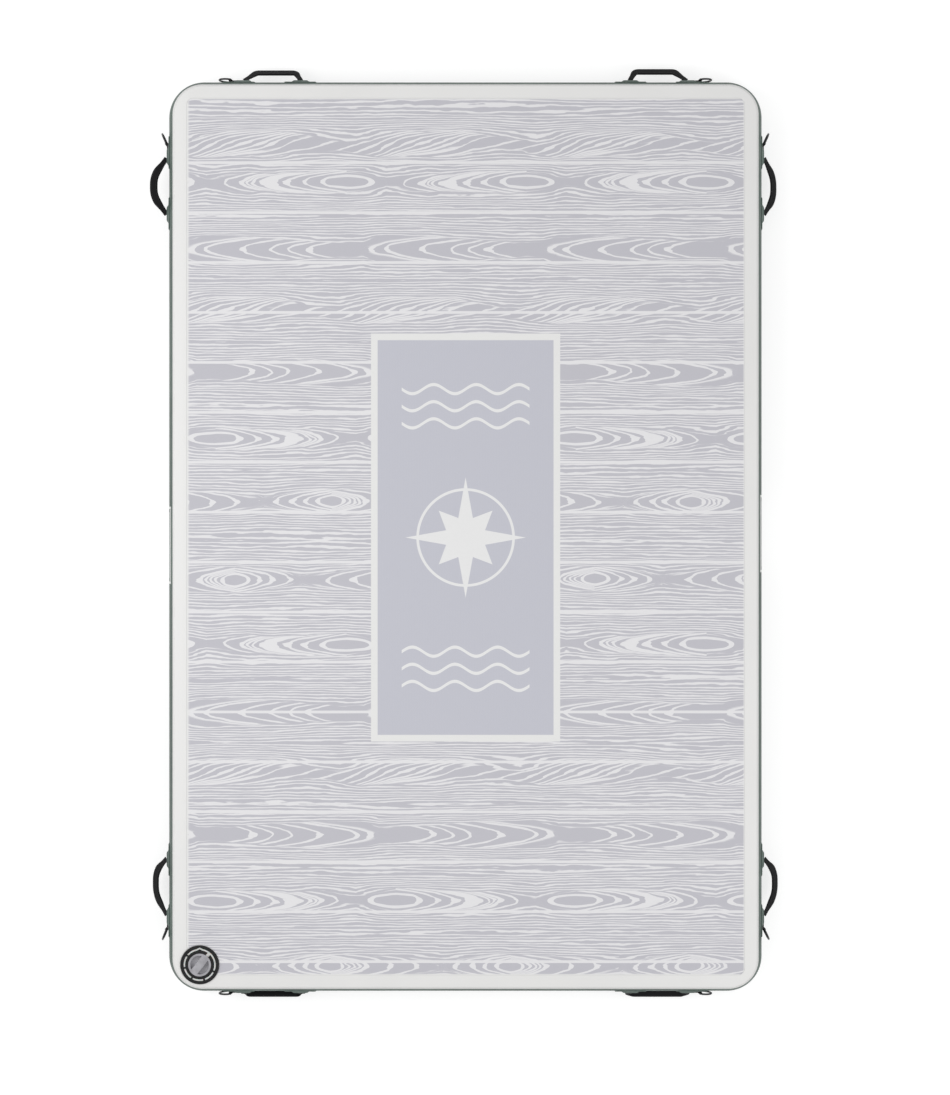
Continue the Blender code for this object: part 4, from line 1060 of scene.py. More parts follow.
def add_piece(name, mesh, materials, body, nodes=(), angle=SMOOTH_ANGLE):
    """A finished piece of the dock, at the origin, riding on a body."""
    for material in materials:
        mesh.materials.append(material)
    mesh.shade_smooth()
    mesh.set_sharp_from_angle(angle=angle)
    piece = linked(name, mesh)
    if nodes:
        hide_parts(*nodes)
    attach(piece, body)
    return piece


def applied(thing):
    """The plain mesh that an object's modifiers make; the object is removed."""
    bpy.context.view_layer.update()
    evaluated = thing.evaluated_get(bpy.context.evaluated_depsgraph_get())
    mesh = bpy.data.meshes.new_from_object(evaluated)
    bpy.data.objects.remove(thing, do_unlink=True)
    return mesh


def joined(name, meshes):
    """Several meshes in one."""
    shell = bmesh.new()
    for mesh in meshes:
        shell.from_mesh(mesh)
    return plain_mesh(name, shell)


def moved(mesh, matrix):
    """A copy of a mesh in its place."""
    mesh = mesh.copy()
    mesh.transform(matrix)
    return mesh


def curved(start, corner, end, share):
    """A point on the curve that rounds a corner."""
    return (
        start * (1 - share) ** 2 + corner * 2 * share * (1 - share) + end * share * share)


def softened(points, radius, steps=3, closed=True):
    """A polyline with its corners rounded, as far as its sides allow."""
    result = []
    count = len(points)
    for index, point in enumerate(points):
        point = Vector(point)
        if not closed and index in (0, count - 1):
            result.append(point)
            continue
        before = Vector(points[index - 1]) - point
        after = Vector(points[(index + 1) % count]) - point
        room = min(before.length, after.length) * 0.45
        between = before.angle(after)
        if between > math.radians(160.0):
            result.append(point)
            continue
        cut = min(radius / math.tan(between / 2), room)
        start = point + before.normalized() * cut
        end = point + after.normalized() * cut
        result += [curved(start, point, end, step / steps) for step in range(steps + 1)]
    return result


def skinned(name, rings, closed=False, ends=True, maps=None):
    """A mesh over rings of points, one after the other.

    closed joins the last ring to the first, and otherwise ends closes those two. maps
    gives each point its place on the strap's map.
    """
    shell = bmesh.new()
    strap = shell.loops.layers.uv.new("strap") if maps else None
    verts = [[shell.verts.new(point) for point in ring] for ring in rings]
    rows = list(range(len(rings)))
    count = len(rings[0])
    for row, following in zip(rows, rows[1:] + rows[:1] if closed else rows[1:]):
        for i in range(count):
            j = (i + 1) % count
            corners = ((row, i), (row, j), (following, j), (following, i))
            face = shell.faces.new([verts[r][k] for r, k in corners])
            if maps:
                for loop, (r, k) in zip(face.loops, corners):
                    loop[strap].uv = maps[r][k]
    if ends and not closed:
        shell.faces.new(verts[0][::-1])
        shell.faces.new(verts[-1])
    return as_mesh(name, shell)


def turned(name, profile, steps, reshape=None, closed=True):
    """A profile of (radius, height) points turned round the valve's axis.

    reshape, where given, changes a radius by its heading.
    """
    rings = []
    for radius, height in profile:
        ring = []
        for step in range(steps):
            heading = math.tau * step / steps
            reach = reshape(radius, heading) if reshape else radius
            ring.append((
                VALVE.x + reach * math.cos(heading), VALVE.y + reach * math.sin(heading),
                VALVE.z + height))
        rings.append(ring)
    return skinned(name, rings, closed, ends=False)


def cylinder(name, radius, segments, depth, middle):
    """A closed upright cylinder."""
    shape = bmesh.new()
    bmesh.ops.create_cone(
        shape, cap_ends=True, segments=segments, radius1=radius, radius2=radius,
        depth=depth, matrix=Matrix.Translation(middle))
    return as_mesh(name, shape)


# Geometry Nodes

class Growth:
    """A Geometry Nodes tree under construction, with named inputs and a material."""

    def __init__(self, name, inputs):
        self.group = bpy.data.node_groups.new(name, "GeometryNodeTree")
        face = self.group.interface
        face.new_socket("Geometry", in_out="INPUT", socket_type="NodeSocketGeometry")
        face.new_socket("Geometry", in_out="OUTPUT", socket_type="NodeSocketGeometry")
        self.keys = {}
        for label, kind in (*inputs.items(), ("Material", "NodeSocketMaterial")):
            made = face.new_socket(label, in_out="INPUT", socket_type=kind)
            self.keys[label] = made.identifier
        self.start = self.group.nodes.new("NodeGroupInput")

    def given(self, label="Geometry"):
        """One of the tree's own inputs."""
        return self.start.outputs[label]

    def node(self, kind, sources, **settings):
        """A node, its inputs fed by name from sockets or plain values."""
        made = self.group.nodes.new(kind)
        for key, value in settings.items():
            setattr(made, key, value)
        for label, value in sources.items():
            if isinstance(value, bpy.types.NodeSocket):
                self.group.links.new(value, made.inputs[label])
            else:
                made.inputs[label].default_value = value
        return made.outputs

    def close(self, geometry):
        """End in real geometry that carries its material."""
        real = self.node("GeometryNodeRealizeInstances", {"Geometry": geometry})[0]
        coat = self.node(
            "GeometryNodeSetMaterial", {"Geometry": real, "Material": self.given("Material")})[0]
        end = self.group.nodes.new("NodeGroupOutput")
        self.group.links.new(coat, end.inputs["Geometry"])

    def grow(self, name, data, **values):
        """Run the tree on a curve or mesh and return a plain mesh."""
        thing = linked(name, data)
        grown = thing.modifiers.new(name, "NODES")
        grown.node_group = self.group
        for label, value in values.items():
            grown[self.keys[label.replace("_", " ")]] = value
        return applied(thing)


LENGTH = "NodeSocketFloat"
COUNT = "NodeSocketInt"


def ring_sweep():
    """Carries the profile it is given round a rectangle with rounded corners."""
    tree = Growth("ring_sweep", {
        "Width": LENGTH, "Length": LENGTH, "Corner": LENGTH, "Corner steps": COUNT})
    path = tree.node("GeometryNodeCurvePrimitiveQuadrilateral", {
        "Width": tree.given("Width"), "Height": tree.given("Length")})[0]
    path = tree.node("GeometryNodeFilletCurve", {
        "Curve": path, "Count": tree.given("Corner steps"), "Radius": tree.given("Corner"),
    }, mode="POLY")[0]
    band = tree.node("GeometryNodeCurveToMesh", {
        "Curve": path, "Profile Curve": tree.given()})[0]
    tree.close(band)
    return tree


def wire_sweep():
    """Carries a round wire along the path it is given."""
    tree = Growth("wire_sweep", {"Wire": LENGTH, "Sides": COUNT})
    ring = tree.node("GeometryNodeCurvePrimitiveCircle", {
        "Resolution": tree.given("Sides"), "Radius": tree.given("Wire")}, mode="RADIUS")[0]
    wire = tree.node("GeometryNodeCurveToMesh", {
        "Curve": tree.given(), "Profile Curve": ring, "Fill Caps": True})[0]
    tree.close(wire)
    return tree


def stitch_row():
    """Lays stitches along the edges it is given, a pitch apart."""
    tree = Growth("stitch_row", {"Pitch": LENGTH, "Stitch": LENGTH, "Thread": LENGTH})
    path = tree.node("GeometryNodeMeshToCurve", {"Mesh": tree.given()})[0]
    points = tree.node("GeometryNodeCurveToPoints", {
        "Curve": path, "Length": tree.given("Pitch")}, mode="LENGTH")
    stitch = tree.node("GeometryNodeMeshCylinder", {
        "Vertices": 6, "Side Segments": 3, "Radius": tree.given("Thread"),
        "Depth": tree.given("Stitch")})[0]
    laid = tree.node("GeometryNodeInstanceOnPoints", {
        "Points": points["Points"], "Instance": stitch, "Rotation": points["Rotation"]})[0]
    tree.close(laid)
    return tree


def tab_ring():
    """Stands copies of the block it is given in a ring, a pitch apart by angle."""
    tree = Growth("tab_ring", {
        "Tabs": COUNT, "First": LENGTH, "Pitch": LENGTH, "Centre": "NodeSocketVector"})
    posts = tree.node("GeometryNodeMeshLine", {
        "Count": tree.given("Tabs"), "Offset": (0.0, 0.0, 0.0)}, mode="OFFSET")[0]
    index = tree.node("GeometryNodeInputIndex", {})[0]
    turn = tree.node("ShaderNodeMath", {0: index, 1: tree.given("Pitch")}, operation="MULTIPLY")[0]
    turn = tree.node("ShaderNodeMath", {0: turn, 1: tree.given("First")}, operation="ADD")[0]
    heading = tree.node("ShaderNodeCombineXYZ", {"Z": turn})[0]
    posts = tree.node("GeometryNodeSetPosition", {
        "Geometry": posts, "Position": tree.given("Centre")})[0]
    stood = tree.node("GeometryNodeInstanceOnPoints", {
        "Points": posts, "Instance": tree.given(), "Rotation": heading})[0]
    tree.close(stood)
    return tree


def polyline(name, points, closed=True):
    """A curve in straight steps, for a sweep."""
    data = bpy.data.curves.new(name, "CURVE")
    data.dimensions = "3D"
    spline = data.splines.new("POLY")
    spline.points.add(len(points) - 1)
    for made, point in zip(spline.points, points):
        made.co = (*point, 1.0)
    spline.use_cyclic_u = closed
    return data


# The chamber

def bulge(radius, angle):
    """A point on the wall's bulge: outward from the shoulder line, and height."""
    return Vector((
        WALL_CENTRE + radius * math.cos(angle), MID_HEIGHT + radius * math.sin(angle)))


def bulge_angle(radius, height):
    """The angle on the wall's bulge at which a height lies."""
    return math.asin((height - MID_HEIGHT) / radius)


def bulge_line(radius, high, low, steps):
    """Points down the bulge between two angles."""
    return [bulge(radius, high + (low - high) * step / steps) for step in range(steps + 1)]


def wall_profile(steps):
    """The C of the side wall, its lips under the skins."""
    outer_high = SKIN_LOW.z - GAP
    outer_low = WALL_LOW.z
    sides = []
    for thin in (0.0, WALL_THICKNESS):
        radius = WALL_RADIUS - thin
        high, low = outer_high - thin, outer_low + thin
        top, bottom = bulge_angle(radius, high), bulge_angle(radius, low)
        side = [Vector((-UPPER_LIP, high))]
        side += bulge_line(radius, top, bottom, steps)
        side.append(Vector((-LOWER_LIP, low)))
        sides.append(side)
    return sides[0] + sides[1][::-1]


def tape_profile(border, steps=6):
    """The border's tape: flat on the deck, then over the shoulder and down the bulge."""
    top = BODY_HEIGHT
    bottom = top - TAPE_THICKNESS
    sides = []
    for lift, height, round_off in (
        (GAP + TAPE_THICKNESS, top, SHOULDER_ROUND), (GAP, bottom, WALL_THICKNESS),
    ):
        radius = WALL_RADIUS + lift
        turn = bulge_angle(radius, height)
        end = bulge_angle(WALL_RADIUS + GAP, bottom) - TAPE_DROP / WALL_RADIUS
        start = turn - round_off / radius
        corner = bulge(radius, turn)
        line = [Vector((-border, height))]
        before = corner - Vector((round_off, 0.0))
        after = bulge(radius, start)
        line += [curved(before, corner, after, step / steps) for step in range(steps + 1)]
        line += bulge_line(radius, start, end, 3)[1:]
        sides.append(line)
    return sides[0] + sides[1][::-1]


class DOCK_OT_chamber(bpy.types.Operator):
    """Side wall and the two seam tapes, swept round the dock"""

    bl_idname = "dock.chamber"
    bl_label = "Chamber"

    def execute(self, context):
        shell = context.scene.dock_shell
        white = white_sheet()
        green = green_sheet("green_wall", shell.label)
        sweep = ring_sweep()
        turned_over = [
            Vector((point.x, BODY_HEIGHT - point.y)) for point in tape_profile(TAPE_BORDER)]
        for name, node, profile, coat, slot in (
            ("side_wall_sheet", "side_wall", wall_profile(shell.bulge_steps), green,
             "green_pvc"),
            ("deck_border", "upper_seam_tape", tape_profile(TAPE_BORDER + OVERRUN), white,
             "white_pvc"),
            ("underside_border", "lower_seam_tape", turned_over, white, "white_pvc"),
        ):
            line = polyline(name, [(point.x, -point.y, 0.0) for point in profile])
            mesh = sweep.grow(
                name, line, Width=2 * HALF_X, Length=2 * HALF_Y, Corner=CORNER_RADIUS,
                Corner_steps=shell.corner_steps, Material=coat)
            if name == "deck_border":
                mesh = combined(notched(mesh), [deck_opening()], "DIFFERENCE")
            add_piece(name, cleaned(mesh), [coat], "dock", [node])
        for node in ("top_skin", "bottom_skin"):
            dress(node, white)
        return {"FINISHED"}


def deck_opening():
    """The shape that the printed sheet leaves open in the border."""
    outline = rounded_ring(
        HALF_X - TAPE_BORDER, HALF_Y - TAPE_BORDER, DECK_CORNER + GAP, 2, 12)
    return skinned("deck_opening", [
        [(*point, BODY_HEIGHT + side * OVERRUN) for point in outline] for side in (-1, 1)])


def dress(node, material):
    """A CAD node that stays gets its material."""
    slots = frame["nodes"][node].data.materials
    slots.clear()
    slots.append(material)


def notched(mesh):
    """A sheet with the round notch that clears the valve's rim."""
    tool = cylinder("notch_tool", RIM_RADIUS + RIM_CLEARANCE, NOTCH_STEPS, CUT_LENGTH, VALVE)
    return combined(mesh, [tool], "DIFFERENCE")


class DOCK_OT_deck(bpy.types.Operator):
    """The printed deck sheet, with the maps that its grain follows"""

    bl_idname = "dock.deck"
    bl_label = "Deck sheet"

    def execute(self, context):
        mesh = deck_mesh()
        add_piece(
            "deck_sheet_printed", mesh, [deck_print()], "dock", ["deck_sheet"])
        return {"FINISHED"}


def deck_mesh():
    """Strips along the rows of figures, closed by a rounded edge and an underside.

    The maps give each strip its place along and across its row, and its row's kind.
    """
    half_x, half_y = DECK_HIGH.x, DECK_HIGH.y
    heights = [row[0] for row in GRAIN_ROWS]
    straight = half_y - DECK_CORNER
    levels = {half_y, -half_y, straight, -straight}
    for step in range(1, DECK_CORNER_STEPS):
        rise = DECK_CORNER * math.sin(math.pi / 2 * step / DECK_CORNER_STEPS)
        levels |= {straight + rise, -straight - rise}
    levels |= {(first + second) / 2 for first, second in zip(heights, heights[1:])}
    levels = sorted(levels)
    columns = np.linspace(-half_x, half_x, DECK_COLUMNS + 1)
    shell = bmesh.new()
    maps = [shell.loops.layers.uv.new(name) for name in ("figure", "kind", "lean")]
    grid = []
    for y in levels:
        over = abs(y) - straight
        reach = half_x
        if over > 0:
            reach = half_x - DECK_CORNER + math.sqrt(max(DECK_CORNER ** 2 - over ** 2, 0.0))
        xs = np.clip(columns, -reach, reach)
        grid.append([shell.verts.new((x, y, DECK_HIGH.z)) for x in xs])
    for low, (near, far) in enumerate(zip(grid, grid[1:])):
        middle = (levels[low] + levels[low + 1]) / 2
        height, kind, direction, first = min(GRAIN_ROWS, key=lambda row: abs(row[0] - middle))
        bow, lean, seam = FIGURE_SHAPES[kind]
        index = list(FIGURES).index(kind)
        for corners in zip(near, near[1:], far[1:], far):
            face = shell.faces.new(corners)
            for loop in face.loops:
                spot = loop.vert.co
                for layer, value in zip(maps, (
                    ((spot.x - first) * direction, spot.y - height), (index, bow),
                    (-direction * lean, seam * MILLIMETRE / REPEAT),
                )):
                    loop[layer].uv = value
    bmesh.ops.dissolve_degenerate(shell, dist=MERGE, edges=shell.edges)
    bmesh.ops.remove_doubles(shell, verts=shell.verts, dist=MERGE)
    rim = [edge for edge in shell.edges if edge.is_boundary]
    side = bmesh.ops.extrude_edge_only(shell, edges=rim)["geom"]
    lowered = [item for item in side if isinstance(item, bmesh.types.BMVert)]
    for vert in lowered:
        vert.co.z = DECK_LOW.z
    rim = [edge for edge in shell.edges if edge.is_boundary]
    bmesh.ops.contextual_create(shell, geom=rim)
    bmesh.ops.recalc_face_normals(shell, faces=shell.faces)
    return notched(plain_mesh("deck_sheet_printed", shell))


# Stations

def station_place(name):
    """The station's frame, its hand, and its handle's and ring's turns at rest."""
    swing = JOINTS[name + "_handle_swing"]
    turn = JOINTS[name + "_ring_swing"]
    axis = Vector(swing["axis"])
    hand = turn["axis"][2]
    hinge = Vector(swing["pos_m"])
    outward = Vector((-axis.y, axis.x, 0.0))
    low, high = swing["range_deg"]
    droop = math.radians((low + high) / 2)
    stand = math.radians(-turn["range_deg"][0])
    basis = Matrix((axis, outward, (0.0, 0.0, 1.0))).transposed().to_4x4()
    wall = HALF_X + WALL_BULGE if abs(outward.x) > abs(outward.y) else HALF_Y + WALL_BULGE
    origin = hinge - outward * (hinge.dot(outward) - wall)
    place = Matrix.Translation(origin) @ basis
    hinge_place = Matrix.Translation(hinge) @ basis @ Matrix.Rotation(-droop, 4, "X")
    heading = stand if hand > 0 else math.pi - stand
    pin_place = Matrix.Translation(turn["pos_m"]) @ basis @ Matrix.Rotation(heading, 4, "Z")
    return place, hand, hinge_place, pin_place, Vector(turn["pos_m"])


def rounded_ring(half_x, half_z, radius, side_steps=8, corner_steps=6):
    """Points round a rectangle with round corners, the same count for every size."""
    points = []
    for quarter, (sx, sz) in enumerate(((1, 1), (-1, 1), (-1, -1), (1, -1))):
        centre = Vector((sx * (half_x - radius), sz * (half_z - radius)))
        first = quarter * math.pi / 2
        for step in range(corner_steps + 1):
            angle = first + math.pi / 2 * step / corner_steps
            points.append(centre + radius * Vector((math.cos(angle), math.sin(angle))))
        end = points[-1]
        sx, sz = ((-1, 1), (-1, -1), (1, -1), (1, 1))[quarter]
        centre = Vector((sx * (half_x - radius), sz * (half_z - radius)))
        angle = first + math.pi / 2
        following = centre + radius * Vector((math.cos(angle), math.sin(angle)))
        for step in range(1, side_steps):
            points.append(end.lerp(following, step / side_steps))
    return points


def patch_mesh(name, boss_x):
    """A welded patch with its boss, laid on the bulge."""
    def on_wall(point, height):
        angle = point.y / WALL_RADIUS
        reach = WALL_RADIUS + height
        return (point.x, reach * math.cos(angle) - WALL_RADIUS, reach * math.sin(angle))

    half_x, half_z = (size / 2 for size in PATCH_SIZE)
    boss_x_half, boss_z_half = (size / 2 for size in BOSS_SIZE)
    shift = Vector((boss_x, 0.0))
    rings = []
    for inset, height in PATCH_RINGS:
        ring = rounded_ring(half_x - inset, half_z - inset, max(PATCH_CORNER - inset, 0.003))
        rings.append([on_wall(point, height) for point in ring])
    inset = PATCH_RINGS[-1][0]
    base = rounded_ring(half_x - inset, half_z - inset, PATCH_CORNER - inset)
    boss = rounded_ring(
        boss_x_half + BOSS_FILLET, boss_z_half + BOSS_FILLET, BOSS_CORNER + BOSS_FILLET)
    boss = [point + shift for point in boss]
    rings.append([
        on_wall(first.lerp(second, 0.5), PATCH_TOP) for first, second in zip(base, boss)])
    rings.append([on_wall(point, PATCH_TOP) for point in boss])
    for inset, share in BOSS_RINGS:
        ring = rounded_ring(
            boss_x_half - inset, boss_z_half - inset, max(BOSS_CORNER - inset, 0.002))
        foot = [on_wall(point + shift, PATCH_TOP) for point in ring]
        rings.append([
            (x, y + (BOSS_OUT - y) * share, z + (point.y - z) * share)
            for (x, y, z), point in zip(foot, ring)])
    return skinned(name, rings)


class DOCK_OT_patches(bpy.types.Operator):
    """The welded patches that anchor handles and rings"""

    bl_idname = "dock.patches"
    bl_label = "Patches"

    def execute(self, context):
        coat = green_sheet("green_patch", False)
        plain = patch_mesh("handle_patch", 0.0)
        for name in STATIONS:
            place, hand, _, _, _ = station_place(name)
            near = patch_mesh("ring_patch", hand * (NEAR_BOSS_SHIFT - NEAR_PATCH_SHIFT))
            near_x = hand * (FOOT_HALF_SPAN + NEAR_PATCH_SHIFT)
            near_place = place @ Matrix.Translation((near_x, 0.0, 0.0))
            far_place = place @ Matrix.Translation((-hand * FOOT_HALF_SPAN, 0.0, 0.0))
            add_piece(
                name + "_ring_patch", moved(near, near_place), [coat], "dock",
                [name + "_ring_base"])
            add_piece(
                name + "_handle_patch", moved(plain, far_place), [coat], "dock",
                [name + "_handle_base"])
        return {"FINISHED"}


# How each handle's strap lies: how far along its bar runs from the middle of its feet,
# towards the ring and away from it, how far out the bar is, its shoulders' radius, and
# how far the bar twists out of the strap's plane
HANDLE_LAY = {
    "left_head": (0.028, 0.028, 0.0335, 0.070, 0.0),
    "left_foot": (0.024, 0.038, 0.0400, 0.070, 0.0),
    "right_head": (0.026, 0.030, 0.0335, 0.070, 0.0),
    "right_foot": (0.024, 0.038, 0.0410, 0.070, 0.0),
    "head_left": (0.044, 0.060, 0.0335, 0.014, 0.0),
    "head_right": (0.044, 0.060, 0.0335, 0.014, 0.0),
    "foot_left": (0.080, 0.081, 0.0290, 0.010, 74.0),
    "foot_right": (0.080, 0.081, 0.0290, 0.010, 74.0),
}
TWIST_START = 0.019
TWIST_LENGTH = 0.022
# Where the strap ends inside its bosses, where it swells to the bar's width, its half
# thickness at the foot and at the bar, and the rounding of its ends
FOOT_SINK = 0.0012
SWELL_START = 0.012
SWELL_LENGTH = 0.034
FOOT_HALF_DEPTH = 0.0015
BAR_HALF_DEPTH = 0.00285
NOSE = 0.0012
# Stitches: their offset from the faces, rows beside the bar's middle and boxes at the feet
STITCH_LIFT = 0.00005
ROW_SHARE = 0.62
ROW_FROM_END = 0.030
BOX_SHARE = 0.7
BOXES_FROM_END = (0.011, 0.021)
STITCH_THREAD = 0.00038


def strap_line(name, hand, steps=64):
    """Points along the strap's middle line in its own plane, and its length."""
    near, far, reach, bend, _ = HANDLE_LAY[name]
    corners = [
        Vector((hand * FOOT_HALF_SPAN, -FOOT_SINK)), Vector((hand * near, reach)),
        Vector((-hand * far, reach)), Vector((-hand * FOOT_HALF_SPAN, -FOOT_SINK)),
    ]
    points = softened(corners, bend, 14, closed=False)
    lengths = [0.0]
    for first, second in zip(points, points[1:]):
        lengths.append(lengths[-1] + (second - first).length)
    total = lengths[-1]
    wanted = np.linspace(0.0, total, steps + 1)
    line = zip(*(
        np.interp(wanted, lengths, [point[axis] for point in points]) for axis in (0, 1)))
    return [Vector(point) for point in line], total


def strap_sections(name, hand):
    """Sections along the strap: length so far, half width and depth, and a place in each."""
    look = bpy.context.scene.dock_webbing
    twist = math.radians(HANDLE_LAY[name][4])
    line, total = strap_line(name, hand)
    sections = []
    for index, point in enumerate(line):
        before = line[max(index - 1, 0)]
        after = line[min(index + 1, len(line) - 1)]
        run = (after - before).normalized()
        share = index / (len(line) - 1)
        to_foot = min(share, 1 - share) * total
        swell = min(max((to_foot - SWELL_START) / SWELL_LENGTH, 0.0), 1.0)
        swell = swell * swell * (3 - 2 * swell)
        half = (look.foot_width + (look.bar_width - look.foot_width) * swell) / 2
        deep = FOOT_HALF_DEPTH + (BAR_HALF_DEPTH - FOOT_HALF_DEPTH) * swell
        nose = min(to_foot / NOSE, 1.0)
        deep *= math.sqrt(max(1 - (1 - nose) ** 2, 0.06))
        lean = twist * min(max((to_foot - TWIST_START) / TWIST_LENGTH, 0.0), 1.0)
        sections.append((share * total, half, deep, (point, Vector((run.y, -run.x)), lean)))
    return sections


def in_section(section, across, up):
    """A point of a section: so far across the strap, and so far up from its middle."""
    point, normal, lean = section
    side = point + normal * (across * math.cos(lean) + up * math.sin(lean))
    return (side.x, side.y, up * math.cos(lean) - across * math.sin(lean))


def strap_mesh(name, hand, sides=20):
    """The folded strap: flat faces, full round edges, a map along and across it."""
    rings, maps = [], []
    for length, half, deep, section in strap_sections(name, hand):
        ring, places = [], []
        for step in range(sides):
            angle = math.tau * step / sides
            c, s = math.cos(angle), math.sin(angle)
            across = half * math.copysign(abs(c) ** 0.5, c)
            up = deep * math.copysign(abs(s) ** 0.5, s)
            ring.append(in_section(section, across, up))
            places.append((length, across))
        rings.append(ring)
        maps.append(places)
    return skinned("strap", rings, maps=maps)


def stitch_guides(name, hand):
    """Edges for the stitches: two rows along each face of the bar, and a box at each foot."""
    sections = strap_sections(name, hand)
    total = sections[-1][0]
    shell = bmesh.new()

    def spot(half, deep, section, side, face):
        return shell.verts.new(
            in_section(section, half * side, face * (deep + STITCH_LIFT)))

    for face in (1, -1):
        for side in (ROW_SHARE, -ROW_SHARE):
            row = [
                spot(*section, side, face) for length, *section in sections
                if ROW_FROM_END < length < total - ROW_FROM_END]
            for first, second in zip(row, row[1:]):
                shell.edges.new((first, second))
        first, second = BOXES_FROM_END
        for place in (first, second, total - first, total - second):
            _, *section = min(sections, key=lambda item: abs(item[0] - place))
            shell.edges.new([
                spot(*section, side, face) for side in (BOX_SHARE, -BOX_SHARE)])
    return plain_mesh("stitch_guides", shell)


class DOCK_OT_handles(bpy.types.Operator):
    """The webbing grab handles and their stitches"""

    bl_idname = "dock.handles"
    bl_label = "Handles"

    def execute(self, context):
        look = context.scene.dock_webbing
        cloth = webbing()
        yarn = thread()
        rows = stitch_row()
        for name in STATIONS:
            _, hand, hinge, _, _ = station_place(name)
            add_piece(
                name + "_strap", moved(strap_mesh(name, hand), hinge), [cloth],
                name + "_handle", [name + "_handle"],
                angle=WIRE_ANGLE)
            laid = rows.grow(
                name + "_stitches", stitch_guides(name, hand), Pitch=look.stitch_pitch,
                Stitch=look.stitch_length, Thread=STITCH_THREAD, Material=yarn)
            add_piece(
                name + "_stitches", moved(laid, hinge), [], name + "_handle",
                angle=WIRE_ANGLE)
        return {"FINISHED"}


def ring_path():
    """A D of wire: its bar on Z, its bow towards +X."""
    half = RING_BAR / 2
    edge = half - RING_CORNER
    points = []
    for x, z, radius, first, last, steps in (
        (RING_CORNER, -edge, RING_CORNER, math.pi, math.pi * 1.5, 6),
        (RING_STRAIGHT, 0.0, half, -math.pi / 2, math.pi / 2, 32),
        (RING_CORNER, edge, RING_CORNER, math.pi / 2, math.pi, 6),
    ):
        for step in range(steps + 1):
            angle = first + (last - first) * step / steps
            points.append((x + radius * math.cos(angle), 0.0, z + radius * math.sin(angle)))
    return polyline("ring_path", points)


def loop_mesh(hand):
    """Webbing round the ring's bar, its two ends laid together into the boss."""
    inner = RING_WIRE / 2 + GAP
    middle = inner + LOOP_THICKNESS / 2
    boss_end = NEAR_BOSS_SHIFT + BOSS_SIZE[0] / 2 - RING_FROM_FOOT
    tail_end = boss_end - LOOP_TAIL
    folded = LOOP_THICKNESS + LAYER_GAP - middle
    points = [Vector((tail_end, -middle))]
    for step in range(LOOP_STEPS + 1):
        angle = -math.pi / 2 + (math.pi + LOOP_OVERLAP) * step / LOOP_STEPS
        points.append(Vector((middle * math.cos(angle), middle * math.sin(angle))))
    points.append(Vector((boss_end + LOOP_CLOSE, folded)))
    points.append(Vector((tail_end, folded)))
    half = LOOP_WIDTH / 2
    deep = LOOP_THICKNESS / 2 - 0.00003
    edge = half - LOOP_EDGE
    rings, maps, length = [], [], 0.0
    for index, point in enumerate(points):
        before = points[max(index - 1, 0)]
        after = points[min(index + 1, len(points) - 1)]
        run = (after - before).normalized()
        normal = Vector((run.y, -run.x))
        ring, places = [], []
        length += (point - before).length
        for out, up in (
            (1, edge), (0.4, half), (-0.4, half), (-1, edge), (-1, 0.0),
            (-1, -edge), (-0.4, -half), (0.4, -half), (1, -edge), (1, 0.0),
        ):
            place = point + normal * deep * out
            ring.append((hand * place.x, place.y, up))
            places.append((length, up))
        rings.append(ring)
        maps.append(places)
    return skinned("ring_loop", rings, maps=maps)


class DOCK_OT_rings(bpy.types.Operator):
    """The D-rings and the webbing loops that hold them"""

    bl_idname = "dock.rings"
    bl_label = "D-rings"

    def execute(self, context):
        coat = coated_wire()
        cloth = webbing("loop_webbing")
        wire = wire_sweep()
        for name in STATIONS:
            place, hand, _, pin, spot = station_place(name)
            bent = wire.grow(
                name + "_ring", ring_path(), Wire=RING_WIRE / 2, Sides=18, Material=coat)
            add_piece(
                name + "_ring", cleaned(moved(bent, pin)), [coat], name + "_d_ring",
                [name + "_d_ring"], angle=WIRE_ANGLE)
            loop_place = Matrix.Translation(spot) @ place.to_3x3().to_4x4()
            add_piece(
                name + "_loop", moved(loop_mesh(hand), loop_place), [cloth], "dock",
                [name + "_ring_loop"], angle=WIRE_ANGLE)
        return {"FINISHED"}


# The valve

def peaked(radius, heading):
    """Pushes the groove and the leash out to a peak."""
    lean = abs(heading - PEAK_ANGLE)
    low, high = PEAK_BAND
    if lean > PEAK_SPREAD or not low <= radius <= high:
        return radius
    line = PEAK_TIP * math.cos(PEAK_SLOPE) / math.cos(lean - PEAK_SLOPE)
    return radius + max(line - PEAK_FROM, 0.0)


def box_form(matrix, size):
    """A closed box, as an edit mesh."""
    shape = bmesh.new()
    bmesh.ops.create_cube(shape, size=1.0, matrix=matrix @ Matrix.Diagonal((*size, 1.0)))
    return shape


def spoke(angle, first, last, low, high, width):
    """A closed bar that runs outward from the valve's axis at an angle."""
    middle = Matrix.Translation(((first + last) / 2, 0.0, (low + high) / 2))
    turn = Matrix.Translation(VALVE) @ Matrix.Rotation(angle, 4, "Z")
    return plain_mesh("spoke", box_form(turn @ middle, (last - first, width, high - low)))


def combined(mesh, tools, operation):
    """A mesh cut by, or joined to, others."""
    thing = linked("combined", mesh)
    helpers = [linked("tool", tool) for tool in tools]
    for helper in helpers:
        step = thing.modifiers.new("step", "BOOLEAN")
        step.operation = operation
        step.solver = "EXACT"
        step.object = helper
    mesh = applied(thing)
    for helper in helpers:
        bpy.data.objects.remove(helper, do_unlink=True)
    return mesh


def bevelled(mesh, width, segments=2):
    """A mesh with its sharp edges rounded."""
    thing = linked("bevelled", mesh)
    edge = thing.modifiers.new("edge", "BEVEL")
    edge.width = width
    edge.segments = segments
    edge.limit_method = "ANGLE"
    edge.angle_limit = math.radians(50.0)
    edge.harden_normals = False
    return applied(thing)


